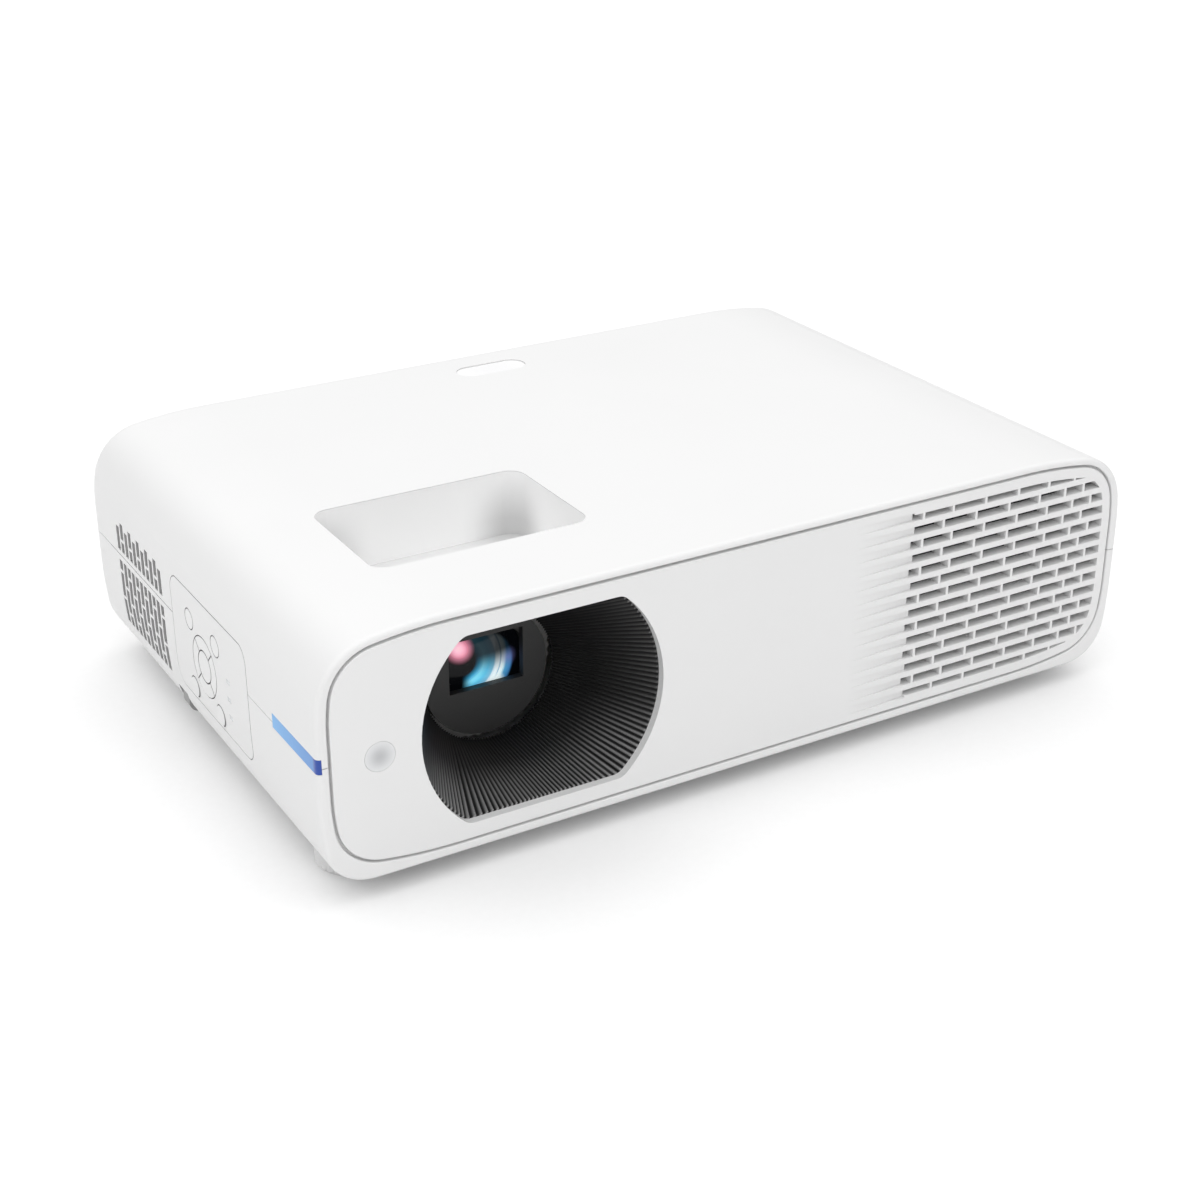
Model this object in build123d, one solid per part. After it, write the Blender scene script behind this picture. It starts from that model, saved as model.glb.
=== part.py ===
from build123d import *
import os
from math import cos, radians, sin
from typing import NamedTuple

# Home projector on four screw feet, in millimetres.
# X runs to the right seen from the front, the lens looks along -Y and Z points up.
# The origin is on the table under the middle of the body.
# Places named "..._back" are distances behind the front face.


class SoftCorner(NamedTuple):
    """A corner that eases in along the crown and out along the flank, all arcs tangent."""

    crown_radius: float
    crown_turn: float
    corner_radius: float
    flank_radius: float
    flank_turn: float


# Body shell
WIDTH = 357.0
DEPTH = 237.0
BODY_HEIGHT = 95.7
FOOT_HEIGHT = 8.3
WALL = 2.5
FRONT_EDGE_RADIUS = 1.9
REAR_EDGE_RADIUS = 6.0
SHELL_UPPER_CORNER = SoftCorner(193.0, 9.0, 24.0, 83.0, 9.0)
SHELL_LOWER_CORNER = SoftCorner(60.0, 5.0, 18.0, 160.0, 7.0)
SEAM_RISE = 49.2
SEAM_GAP = 0.35
TONGUE_HEIGHT = 3.0
TONGUE_THICKNESS = 1.5

# Front bezel, set into the shell behind a narrow shadow groove
GROOVE = 1.1
LIP_SIDE = 4.25
LIP_TOP = 2.6
LIP_BOTTOM = 3.85
LIP_INNER_RADIUS = 0.6
BEZEL_EDGE_RADIUS = 0.4
BEZEL_CORNER = SoftCorner(190.0, 9.0, 19.0, 80.0, 9.0)
BEZEL_THICKNESS = 2.6
LEDGE_WIDTH = 1.5
LEDGE_THICKNESS = 2.0

# Lens opening in the bezel and the ribbed light funnel behind it
LENS_FROM_LEFT = 87.5
LENS_RISE = 42.7
OPENING_RISE = 48.2
OPENING_RADIUS = 48.8
OPENING_HALF_HEIGHT = 37.15
OPENING_CORNER = 6.0
OPENING_DEPTH = 3.2
OPENING_COLLAR = 2.0
FUNNEL_BACK = 44.0
FUNNEL_END_RADIUS = 27.0
FUNNEL_WALL = 1.8
FUNNEL_FLANGE = 3.0
FUNNEL_FLANGE_THICKNESS = 1.5
FUNNEL_RIBS = 140
RIB_DEPTH_FRONT = 1.2
RIB_DEPTH_REAR = 0.6

# Exhaust grille at the right of the bezel
GRILLE_FROM_RIGHT = 108.1
GRILLE_ROWS = 14
GRILLE_PITCH = 5.91
GRILLE_SLOT_HEIGHT = 3.5
GRILLE_DEPTH = 5.0
GRILLE_FRAME = 1.2
GRILLE_EDGE = 3.0
GRILLE_FLANGE = 1.0
GRILLE_BAR = 1.1
GRILLE_SHORT_SLOT = 4.5
GRILLE_EVEN_START = 1.4
GRILLE_EVEN_SHIFT = 4.4
GRILLE_LONGEST = 16.7
GRILLE_SHORTENING = 0.68
GRILLE_LONGEST_PLACE = 1.8
GRILLE_BRICKS = 6
FADE_LENGTH = 27.0
FADE_DEPTH = 1.5

# Windows for the remote control
IR_FROM_LEFT = 23.0
IR_RADIUS = 5.8
IR_FLANGE = 1.5
IR_FLANGE_THICKNESS = 1.2
IR_FIT = 0.1
TOP_WINDOW_FROM_REAR = 24.0
TOP_WINDOW_LENGTH = 33.0
TOP_WINDOW_WIDTH = 13.0
TOP_WINDOW_SINK = 0.5
TOP_WINDOW_FLANGE = 1.6
TOP_WINDOW_FLANGE_THICKNESS = 1.2

# Well in the top through which fingers reach the lens rings
WELL_LEFT = 43.5
WELL_LENGTH = 88.0
WELL_BACK = 43.0
WELL_WIDTH = 59.0
WELL_CORNER = 7.0
WELL_WALL = 2.0
WELL_DEPTH = 29.0
WELL_FLOOR = 2.0
WELL_FRONT_DEPTH = 22.0
WELL_WINDOW_MARGIN = 4.0
WELL_WINDOW_REACH = 23.25
WELL_BARREL_GAP = 1.0

# Accent strip let into the left side and round the front lip
STRIP_LENGTH = 39.0
STRIP_HEIGHT = 5.8
STRIP_THICKNESS = 1.0
STRIP_LIP = 1.8
STRIP_ABOVE_SEAM = 1.0

# Intake grille in the left side
INTAKE_FROM_REAR = 84.0
INTAKE_COLUMNS = 11
INTAKE_PITCH = 5.0
INTAKE_SLOT = 3.5
INTAKE_BAND = 2.4
INTAKE_ABOVE = 13.0
INTAKE_BELOW = 28.5
INTAKE_BRICK = 12.0
INTAKE_BAR = 1.3

# Keypad in the left side
KEYPAD_BACK = 62.0
KEYPAD_LENGTH = 78.5
KEYPAD_HEIGHT = 47.5
KEYPAD_RISE = 19.7
KEYPAD_CORNER = 7.0
KEYPAD_GAP = 0.4
KEYPAD_FLANGE = 2.0
KEYPAD_FLANGE_THICKNESS = 1.4
KEYPAD_POST_RADIUS = 2.0
KEYPAD_POST_INSET = 5.0
KEY_CENTRE_BACK = 107.5
KEY_CENTRE_RISE = 40.1
KEY_SPREAD = 13.5
KEY_RISE = 14.5
KEY_RADIUS = 4.0
KEY_FIT = 0.45
KEY_THICKNESS = 5.0
KEY_STEM_RADIUS = 1.5
KEY_TRAVEL = 0.6
KEY_STOP_GAP = 0.15
ARROW_OUTER_RADIUS = 12.0
ARROW_INNER_RADIUS = 6.8
ARROW_GAP = 0.4
OK_RADIUS = 6.2
SWITCH_SIZE = 5.0
SWITCH_HEIGHT = 3.5
KEY_BOARD_DEPTH = 11.0
KEY_BOARD_THICKNESS = 1.6
KEY_BOARD_MARGIN = 2.0
LIGHT_COUNT = 3
LIGHT_BACK = 82.5
LIGHT_DROP = 2.5
LIGHT_PITCH = 7.5
LIGHT_LENGTH = 3.2
LIGHT_HEIGHT = 1.6
LIGHT_FIT = 0.1

# Security slot low in the left side
SECURITY_BACK = 136.0
SECURITY_LENGTH = 10.0
SECURITY_RISE = 5.5
SECURITY_HEIGHT = 9.5
SECURITY_DEPTH = 14.0
SECURITY_WALL = 1.5
SECURITY_BAR_INSET = 2.4
SECURITY_BAR_LENGTH = 7.0
SECURITY_BAR_THICKNESS = 3.2
SECURITY_BAR_BEND = 4.0

# Rear panel with the sockets
REAR_RIM = 8.0
REAR_LEDGE = 3.0
REAR_LEDGE_THICKNESS = 3.0
REAR_RECESS = 6.0
REAR_PANEL_THICKNESS = 3.0
REAR_PANEL_GAP = 0.3
SOCKET_FIT = 0.3

# Projection lens: fixed barrel, two turning rings, two sliding cells
BARREL_BACK = 52.0
BARREL_RADIUS = 24.0
BARREL_BORE = 22.0
BARREL_FLANGE_RADIUS = 30.0
BARREL_FLANGE_THICKNESS = 4.0
BARREL_COLLAR = 1.6
BARREL_COLLAR_WIDTH = 1.6
RING_FIT = 0.06
RING_SIDE_GAP = 0.4
RING_RADIUS = 31.0
RING_FLUTE_DEPTH = 0.9
RING_FLUTES = 48
FOCUS_RING_WIDTH = 12.0
ZOOM_RING_BACK = 68.0
ZOOM_RING_WIDTH = 12.0
ZOOM_LEVER_HEIGHT = 3.0
ZOOM_LEVER_WIDTH = 6.0
FRONT_CELL_BACK = 46.0
FRONT_CELL_RADIUS = 25.5
FRONT_CELL_FACE = 3.0
FRONT_CELL_LENGTH = 26.0
FRONT_CELL_BORE = 19.0
CELL_FIT = 0.08
LENS_WINDOW_WIDTH = 31.0
LENS_WINDOW_HEIGHT = 21.0
LENS_WINDOW_RAISE = 4.5
FRONT_GLASS_BULGE = 4.5
FRONT_GLASS_EDGE = 9.0
GLASS_FIT = 0.05
ZOOM_CELL_BACK = 84.0
ZOOM_CELL_LENGTH = 16.0
ZOOM_CELL_BORE = 16.0
ZOOM_GLASS_EDGE = 5.0
ZOOM_GLASS_BULGE = 2.2

# Light engine behind the lens
ENGINE_BACK = 118.0
ENGINE_WIDTH = 88.0
ENGINE_LENGTH = 72.0
ENGINE_HEIGHT = 62.0
ENGINE_RISE = 13.7
ENGINE_WALL = 3.0
ENGINE_POST_RADIUS = 4.0
ENGINE_POST_INSET = 10.0
PRISM_SIDE = 26.0
PRISM_LENGTH = 24.0
DMD_BOARD_WIDTH = 74.0
DMD_BOARD_HEIGHT = 52.0
DMD_BOARD_THICKNESS = 1.6
DMD_WINDOW_WIDTH = 20.0
DMD_WINDOW_HEIGHT = 14.0
DMD_SINK_WIDTH = 48.0
DMD_SINK_HEIGHT = 36.0
DMD_SINK_BASE = 2.4
DMD_SINK_DEPTH = 12.0
DMD_SINK_FINS = 9
DMD_SINK_FIN = 1.2
LED_COUNT = 3
LED_SIZE = 18.0
LED_DEPTH = 10.0
LED_WINDOW = 12.0
LED_FIRST_BACK = 12.0
LED_PITCH = 22.0
LED_FIRST_RISE = 20.0
LED_RISE_STEP = 12.0

# Heat pipes and fin stack that cool the light source
PIPE_RADIUS = 3.0
PIPE_FIT = 0.06
PIPE_BEND = 12.0
PIPE_FIRST_INSET = 13.0
PIPE_SPACING = 18.0
SINK_FROM_LENS = 86.0
SINK_BACK = 48.0
SINK_WIDTH = 62.0
SINK_HEIGHT = 62.0
SINK_RISE = 8.0
SINK_BASE = 4.0
SINK_FINS = 20
SINK_FIN = 0.8
SINK_PITCH = 3.0

# Fans
FAN_BORE_GAP = 1.0
FAN_CORNER = 4.0
FAN_STRUT = 4.0
FAN_PLATE = 3.0
FAN_SHAFT_RADIUS = 1.5
FAN_SHAFT_FIT = 0.05
FAN_BLADES = 9
FAN_BLADE_PITCH = 38.0
FAN_BLADE_THICKNESS = 1.4
FAN_END_GAP = 1.5
EXHAUST_FAN_SIZE = 80.0
EXHAUST_FAN_DEPTH = 25.0
EXHAUST_FAN_BACK = 12.0
EXHAUST_FAN_HUB = 20.0
EXHAUST_FAN_FROM_RIGHT = 68.5
INTAKE_FAN_SIZE = 60.0
INTAKE_FAN_DEPTH = 20.0
INTAKE_FAN_HUB = 14.0
INTAKE_FAN_FROM_LEFT = 8.0
INTAKE_FAN_RISE = 42.7
FAN_CRADLE = 2.0
FAN_CRADLE_INSET = 12.0
FAN_WALL_MARGIN = 1.6

# Main board and its sockets
BOARD_RISE = 11.7
BOARD_THICKNESS = 1.6
BOARD_POST_RADIUS = 3.0
BOARD_POST_INSET = 6.0
MAIN_BOARD_LEFT = 138.5
MAIN_BOARD_WIDTH = 132.0
MAIN_BOARD_LENGTH = 100.0
HDMI_COUNT = 2
HDMI_INSET = 40.0
HDMI_PITCH = 26.0
HDMI_WIDTH = 15.0
HDMI_HEIGHT = 6.2
HDMI_LENGTH = 13.0
HDMI_SHELL = 0.6
HDMI_TONGUE = 1.0
USB_INSET = 92.0
USB_WIDTH = 14.4
USB_HEIGHT = 7.2
USB_LENGTH = 15.0
USB_SHELL = 0.8
USB_TONGUE = 1.8
JACK_COUNT = 2
JACK_INSET = 110.0
JACK_PITCH = 13.0
JACK_SIZE = 11.0
JACK_LENGTH = 12.0
JACK_BARREL_RADIUS = 3.8
JACK_BORE = 1.8
SOCKET_CAVITY = 9.0
TONGUE_SHARE = 2 / 3
TONGUE_SINK = 2.0

# Mains inlet and power supply
INLET_FROM_RIGHT = 49.5
INLET_RISE = 37.0
INLET_WIDTH = 27.4
INLET_HEIGHT = 20.0
INLET_LENGTH = 17.0
INLET_FLANGE = 2.2
INLET_FLANGE_THICKNESS = 2.0
INLET_CAVITY_MARGIN = 1.5
INLET_CAVITY_DEPTH = 15.0
INLET_CHAMFER = 5.0
INLET_PIN_WIDTH = 2.0
INLET_PIN_HEIGHT = 4.0
INLET_PIN_LENGTH = 9.0
INLET_PIN_SPREAD = 7.0
INLET_EARTH_RAISE = 4.0
POWER_BOARD_FROM_RIGHT = 10.5
POWER_BOARD_WIDTH = 62.0
POWER_BOARD_BACK = 50.0
POWER_BOARD_LENGTH = 132.0
TRANSFORMER_WIDTH = 32.0
TRANSFORMER_LENGTH = 30.0
TRANSFORMER_HEIGHT = 26.0
TRANSFORMER_BACK = 82.0
TRANSFORMER_COIL_GAP = 4.0
CAPACITOR_COUNT = 3
CAPACITOR_RADIUS = 8.0
CAPACITOR_HEIGHT = 30.0
CAPACITOR_BACK = 132.0
CAPACITOR_PITCH = 19.0
CAPACITOR_NECK = 1.0

# Speaker on the rear panel
SPEAKER_FROM_LEFT = 98.5
SPEAKER_RISE = 40.7
SPEAKER_WIDTH = 44.0
SPEAKER_HEIGHT = 36.0
SPEAKER_FLANGE = 4.0
SPEAKER_BASKET = 9.0
SPEAKER_MAGNET_RADIUS = 10.0
SPEAKER_MAGNET = 6.0
SPEAKER_SLOTS = 7
SPEAKER_SLOT = 2.0
SPEAKER_SLOT_PITCH = 5.0
SPEAKER_SLOT_MARGIN = 5.0

# Feet: stud, knob and threaded insert
FOOT_FRONT_INSET = 20.5
FOOT_FRONT_BACK = 28.0
FOOT_REAR_INSET = 31.5
FOOT_FROM_REAR = 19.0
FOOT_KNOB_RADIUS = 12.0
FOOT_KNOB_GAP = 0.5
FOOT_FLUTES = 24
FOOT_FLUTE_DEPTH = 1.0
FOOT_TREAD = 2.0
FOOT_STUD_RADIUS = 3.0
FOOT_STUD_LENGTH = 22.0
FOOT_STUD_FIT = 0.06
FOOT_STUD_SEAT = 3.0
FOOT_STUD_END_GAP = 0.3
FOOT_INSERT_RADIUS = 5.0
FOOT_INSERT_LENGTH = 13.0
FOOT_BOSS_WALL = 1.5
FOOT_BOSS_ROOF = 2.0
FOOT_BOSS_SPARE = 2.0

# Threaded inserts for a ceiling bracket
MOUNT_SPACING_X = 220.0
MOUNT_SPACING_Y = 130.0
MOUNT_FRONT_BACK = 60.0
MOUNT_HOLE_RADIUS = 2.0
MOUNT_INSERT_RADIUS = 3.5
MOUNT_INSERT_LENGTH = 8.5
MOUNT_BOSS_WALL = 2.5
MOUNT_BOSS_ROOF = 1.5

# Case screws and their bosses
SCREW_FRONT_BACK = 14.0
SCREW_FRONT_LEFT_INSET = 24.5
SCREW_FRONT_RIGHT_INSET = 15.5
SCREW_REAR_LEFT_INSET = 48.5
SCREW_REAR_LEFT_FROM_REAR = 19.0
SCREW_REAR_RIGHT_INSET = 20.5
SCREW_REAR_RIGHT_FROM_REAR = 41.0
SCREW_RADIUS = 1.5
SCREW_FIT = 0.15
SCREW_HEAD_RADIUS = 2.75
SCREW_HEAD_HEIGHT = 2.0
SCREW_HEAD_SINK = 6.0
SCREW_ENGAGEMENT = 8.0
SCREW_BOSS_RADIUS = 4.5

# Planes and centres worked out from the sizes above
LEFT_X = -WIDTH / 2
RIGHT_X = WIDTH / 2
FRONT_Y = -DEPTH / 2
BOTTOM_Z = FOOT_HEIGHT
TOP_Z = FOOT_HEIGHT + BODY_HEIGHT
SEAM_Z = BOTTOM_Z + SEAM_RISE
BEZEL_HALF_WIDTH = WIDTH / 2 - LIP_SIDE - GROOVE
BEZEL_BOTTOM = BOTTOM_Z + LIP_BOTTOM + GROOVE
BEZEL_TOP = TOP_Z - LIP_TOP - GROOVE
BEZEL_MIDDLE_Z = (BEZEL_BOTTOM + BEZEL_TOP) / 2
LENS_X = LEFT_X + LENS_FROM_LEFT
LENS_Z = BOTTOM_Z + LENS_RISE
OPENING_Z = BOTTOM_Z + OPENING_RISE
CAVITY_FRONT = BEZEL_THICKNESS + LEDGE_THICKNESS
PANEL_FRONT = DEPTH - REAR_RECESS - REAR_PANEL_THICKNESS
PANEL_REAR = DEPTH - REAR_RECESS
REAR_LEDGE_FRONT = PANEL_FRONT - REAR_LEDGE_THICKNESS
GRILLE_X = RIGHT_X - GRILLE_FROM_RIGHT
KEY_Z = BOTTOM_Z + KEY_CENTRE_RISE
KEY_BOARD_X = LEFT_X + KEY_BOARD_DEPTH
ENGINE_Z = BOTTOM_Z + ENGINE_RISE
ENGINE_RIGHT = LENS_X + ENGINE_WIDTH / 2
ENGINE_REAR = ENGINE_BACK + ENGINE_LENGTH
BOARD_Z = BOTTOM_Z + BOARD_RISE
BOARD_TOP = BOARD_Z + BOARD_THICKNESS
MAIN_BOARD_X = LEFT_X + MAIN_BOARD_LEFT
MAIN_BOARD_REAR = PANEL_FRONT - REAR_LEDGE_THICKNESS / 2
SINK_X = LENS_X + SINK_FROM_LENS
SINK_Z = BOTTOM_Z + SINK_RISE
INTAKE_BACK = DEPTH - INTAKE_FROM_REAR
INTAKE_MIDDLE = INTAKE_BACK + (INTAKE_COLUMNS - 1) * INTAKE_PITCH / 2
FOOT_REAR_BACK = DEPTH - FOOT_FROM_REAR
INTAKE_FAN_Z = BOTTOM_Z + INTAKE_FAN_RISE
EXHAUST_FAN_X = RIGHT_X - EXHAUST_FAN_FROM_RIGHT
POWER_BOARD_X = RIGHT_X - POWER_BOARD_FROM_RIGHT - POWER_BOARD_WIDTH
WELL_X = LEFT_X + WELL_LEFT
FAR = 2 * WIDTH
FEET = {
    "front_left": (LEFT_X + FOOT_FRONT_INSET, FOOT_FRONT_BACK),
    "front_right": (RIGHT_X - FOOT_FRONT_INSET, FOOT_FRONT_BACK),
    "rear_left": (LEFT_X + FOOT_REAR_INSET, FOOT_REAR_BACK),
    "rear_right": (RIGHT_X - FOOT_REAR_INSET, FOOT_REAR_BACK),
}
SCREWS = (
    (LEFT_X + SCREW_FRONT_LEFT_INSET, SCREW_FRONT_BACK),
    (RIGHT_X - SCREW_FRONT_RIGHT_INSET, SCREW_FRONT_BACK),
    (LEFT_X + SCREW_REAR_LEFT_INSET, DEPTH - SCREW_REAR_LEFT_FROM_REAR),
    (RIGHT_X - SCREW_REAR_RIGHT_INSET, DEPTH - SCREW_REAR_RIGHT_FROM_REAR),
)
MOUNTS = tuple(
    (side * MOUNT_SPACING_X / 2, MOUNT_FRONT_BACK + row * MOUNT_SPACING_Y)
    for side in (-1, 1)
    for row in (0, 1)
)


# Helpers for placing solids


def behind(distance):
    """Y of a plane this far behind the front face."""
    return FRONT_Y + distance


def block(x0, x1, back0, back1, z0, z1):
    """A box between two X, two distances behind the front and two Z."""
    centre = Pos((x0 + x1) / 2, behind((back0 + back1) / 2), (z0 + z1) / 2)
    return centre * Box(x1 - x0, back1 - back0, z1 - z0)


def along_y(sketch, start, end):
    """A sketch in X and Z, extruded between two distances behind the front."""
    plane = Plane(origin=(0, behind(end), 0), x_dir=(1, 0, 0), z_dir=(0, -1, 0))
    return extrude(plane * sketch, amount=end - start)


def along_x(sketch, start, end):
    """A sketch in Y and Z, extruded between two X."""
    plane = Plane(origin=(start, 0, 0), x_dir=(0, 1, 0), z_dir=(1, 0, 0))
    return extrude(plane * sketch, amount=end - start)


def along_z(sketch, start, end):
    """A sketch in X and Y, extruded between two heights."""
    return extrude(Plane.XY.offset(start) * sketch, amount=end - start)


def pillar(x, back, radius, start, end):
    """A round upright at a point of the floor plan."""
    return along_z(Pos(x, behind(back)) * Circle(radius), start, end)


def rod_y(x, z, radius, start, end):
    """A round bar along the lens direction."""
    return along_y(Pos(x, z) * Circle(radius), start, end)


def fluted(radius, depth, count):
    """A disc whose rim is cut by V-shaped flutes."""
    step = 180.0 / count
    points = []
    for index in range(2 * count):
        reach = radius - depth * (index % 2)
        angle = radians(index * step)
        points.append((reach * cos(angle), reach * sin(angle)))
    return make_face(Polyline(*points, close=True))


# Soft outlines of the shell and the bezel


def corner_reach(corner):
    """Width and height that a soft corner takes up."""
    crown = radians(corner.crown_turn)
    flank = radians(corner.flank_turn)
    width = (
        corner.crown_radius * sin(crown)
        + corner.corner_radius * (cos(flank) - sin(crown))
        + corner.flank_radius * (1 - cos(flank))
    )
    height = (
        corner.crown_radius * (1 - cos(crown))
        + corner.corner_radius * (cos(crown) - sin(flank))
        + corner.flank_radius * sin(flank)
    )
    return width, height


def grown(corner, offset):
    """The soft corner of a parallel outline."""
    return corner._replace(
        crown_radius=corner.crown_radius + offset,
        corner_radius=corner.corner_radius + offset,
        flank_radius=corner.flank_radius + offset,
    )


def arc_chain(start, heading, turns):
    """Tangent arcs that turn to the right one after the other."""
    arcs = []
    for radius, turn in turns:
        arc = JernArc(start, heading, radius, -turn)
        arcs.append(arc)
        start = arc @ 1
        heading = arc % 1
    return arcs


def soft_outline(half_width, bottom, top, upper, lower, offset):
    """A closed outline in X and Z with soft corners, grown by an offset."""
    upper = grown(upper, offset)
    lower = grown(lower, offset)
    half_width += offset
    bottom -= offset
    top += offset
    upper_width, upper_height = corner_reach(upper)
    lower_width, lower_height = corner_reach(lower)
    upper_turns = (
        (upper.crown_radius, upper.crown_turn),
        (upper.corner_radius, 90 - upper.crown_turn - upper.flank_turn),
        (upper.flank_radius, upper.flank_turn),
    )
    lower_turns = (
        (lower.flank_radius, lower.flank_turn),
        (lower.corner_radius, 90 - lower.crown_turn - lower.flank_turn),
        (lower.crown_radius, lower.crown_turn),
    )
    half = Curve() + [
        Line((0, top), (half_width - upper_width, top)),
        *arc_chain((half_width - upper_width, top), (1, 0), upper_turns),
        Line((half_width, top - upper_height), (half_width, bottom + lower_height)),
        *arc_chain((half_width, bottom + lower_height), (0, -1), lower_turns),
        Line((half_width - lower_width, bottom), (0, bottom)),
    ]
    return make_face(half.edges() + mirror(half, about=Plane.YZ).edges())


def shell_outline(offset=0.0):
    """Section of the body across its depth."""
    return soft_outline(WIDTH / 2, BOTTOM_Z, TOP_Z, SHELL_UPPER_CORNER, SHELL_LOWER_CORNER, offset)


def bezel_outline(offset=0.0):
    """Front outline of the bezel."""
    return soft_outline(BEZEL_HALF_WIDTH, BEZEL_BOTTOM, BEZEL_TOP, BEZEL_CORNER, BEZEL_CORNER, offset)


def body_block(inset=0.0):
    """The whole body as one solid with its edges rounded, or the same set in all round."""
    solid = along_y(shell_outline(-inset), inset, DEPTH - inset)
    ends = solid.faces().sort_by(Axis.Y)
    solid = fillet(ends[0].edges(), FRONT_EDGE_RADIUS)
    return fillet(solid.faces().sort_by(Axis.Y)[-1].edges(), REAR_EDGE_RADIUS)


BODY = body_block()


# Outlines shared by pieces that fit each other


def lens_opening(offset=0.0):
    """Round opening with flat top and bottom, in X and Z about the lens."""
    flat = Rectangle(FAR, 2 * (OPENING_HALF_HEIGHT + offset))
    outline = Circle(OPENING_RADIUS + offset) & flat
    return Pos(LENS_X, OPENING_Z) * fillet(outline.vertices(), OPENING_CORNER + offset)


def grille_field(margin):
    """The part of the bezel that the exhaust grille fills, set in by a margin."""
    left = GRILLE_X - GRILLE_FRAME + margin
    right_part = Pos((left + FAR) / 2, 0) * Rectangle(FAR - left, FAR)
    return bezel_outline(-GRILLE_EDGE - margin) & right_part


def keypad_outline(offset):
    """Rounded rectangle of the keypad, in Y and Z."""
    middle = Pos(behind(KEYPAD_BACK + KEYPAD_LENGTH / 2), BOTTOM_Z + KEYPAD_RISE + KEYPAD_HEIGHT / 2)
    corner = KEYPAD_CORNER + offset
    return middle * RectangleRounded(KEYPAD_LENGTH + 2 * offset, KEYPAD_HEIGHT + 2 * offset, corner)


def top_window_outline(offset):
    """Oval of the upper remote window, in X and Y."""
    length = TOP_WINDOW_LENGTH + 2 * offset
    return Pos(0, behind(DEPTH - TOP_WINDOW_FROM_REAR)) * SlotOverall(length, TOP_WINDOW_WIDTH + 2 * offset)


def strip_zone(offset):
    """Space that the accent strip takes in the left side and round the front lip."""
    lip = LEFT_X + STRIP_LIP
    top = SEAM_Z + STRIP_ABOVE_SEAM + STRIP_HEIGHT / 2 + offset
    bottom = SEAM_Z + STRIP_ABOVE_SEAM - STRIP_HEIGHT / 2 - offset
    zone = block(LEFT_X, lip, 0, STRIP_LENGTH + offset, bottom, top)
    core = along_y(shell_outline(-STRIP_THICKNESS), STRIP_THICKNESS, DEPTH)
    return (zone & BODY) - core


# Outer shell: upper cover and lower case


def intake_slots():
    """Upright slots in a brick pattern above and below the seam, through the left wall."""
    slots = []
    bands = (
        (SEAM_Z + INTAKE_BAND, SEAM_Z + INTAKE_BAND + INTAKE_ABOVE),
        (SEAM_Z - INTAKE_BAND - INTAKE_BELOW, SEAM_Z - INTAKE_BAND),
    )
    for column in range(INTAKE_COLUMNS):
        y = behind(INTAKE_BACK + column * INTAKE_PITCH)
        for bottom, top in bands:
            z = bottom - (column % 2) * INTAKE_BRICK / 2
            while z < top:
                low = max(z, bottom)
                high = min(z + INTAKE_BRICK - INTAKE_BAR, top)
                if high - low > INTAKE_BAR:
                    slots.append(Pos(y, (low + high) / 2) * Rectangle(INTAKE_SLOT, high - low))
                z += INTAKE_BRICK
    return along_x(Sketch() + slots, LEFT_X - WALL, LEFT_X + INTAKE_FAN_FROM_LEFT)


def shell_cavity():
    """The hollow inside the shell, with the ledges that carry the bezel and the rear panel."""
    pocket = along_y(bezel_outline(GROOVE), -WALL, BEZEL_THICKNESS)
    front_ledge = along_y(bezel_outline(-LEDGE_WIDTH), 0, CAVITY_FRONT)
    room = along_y(shell_outline(-WALL), CAVITY_FRONT, REAR_LEDGE_FRONT)
    rear_ledge = along_y(shell_outline(-REAR_RIM - REAR_LEDGE), REAR_LEDGE_FRONT, DEPTH)
    rear_pocket = along_y(shell_outline(-REAR_RIM), PANEL_FRONT, DEPTH + WALL)
    return pocket + front_ledge + room + rear_ledge + rear_pocket


def security_pocket(offset):
    """The security slot's hollow in the left side, or the same with its walls."""
    return block(
        LEFT_X - WALL,
        LEFT_X + SECURITY_DEPTH + offset,
        SECURITY_BACK - offset,
        SECURITY_BACK + SECURITY_LENGTH + offset,
        BOTTOM_Z + SECURITY_RISE - offset,
        BOTTOM_Z + SECURITY_RISE + SECURITY_HEIGHT + offset,
    )


def shell():
    """Hollow body with a rounded inner lip and the cuts that cross the seam."""
    solid = BODY - shell_cavity()
    lip = solid.faces().filter_by(Plane.XZ).sort_by(Axis.Y)[0]
    solid = fillet(lip.inner_wires()[0].edges(), LIP_INNER_RADIUS)
    solid -= intake_slots()
    solid -= along_x(keypad_outline(0), LEFT_X - WALL, KEY_BOARD_X)
    return solid - strip_zone(0)


SHELL = shell()


def well_block(offset, bottom):
    """The lens well as a solid plug, down to a height."""
    middle = Pos(WELL_X + WELL_LENGTH / 2, behind(WELL_BACK + WELL_WIDTH / 2))
    size = RectangleRounded(WELL_LENGTH + 2 * offset, WELL_WIDTH + 2 * offset, WELL_CORNER + offset)
    return along_z(middle * size, bottom, TOP_Z)


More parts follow.
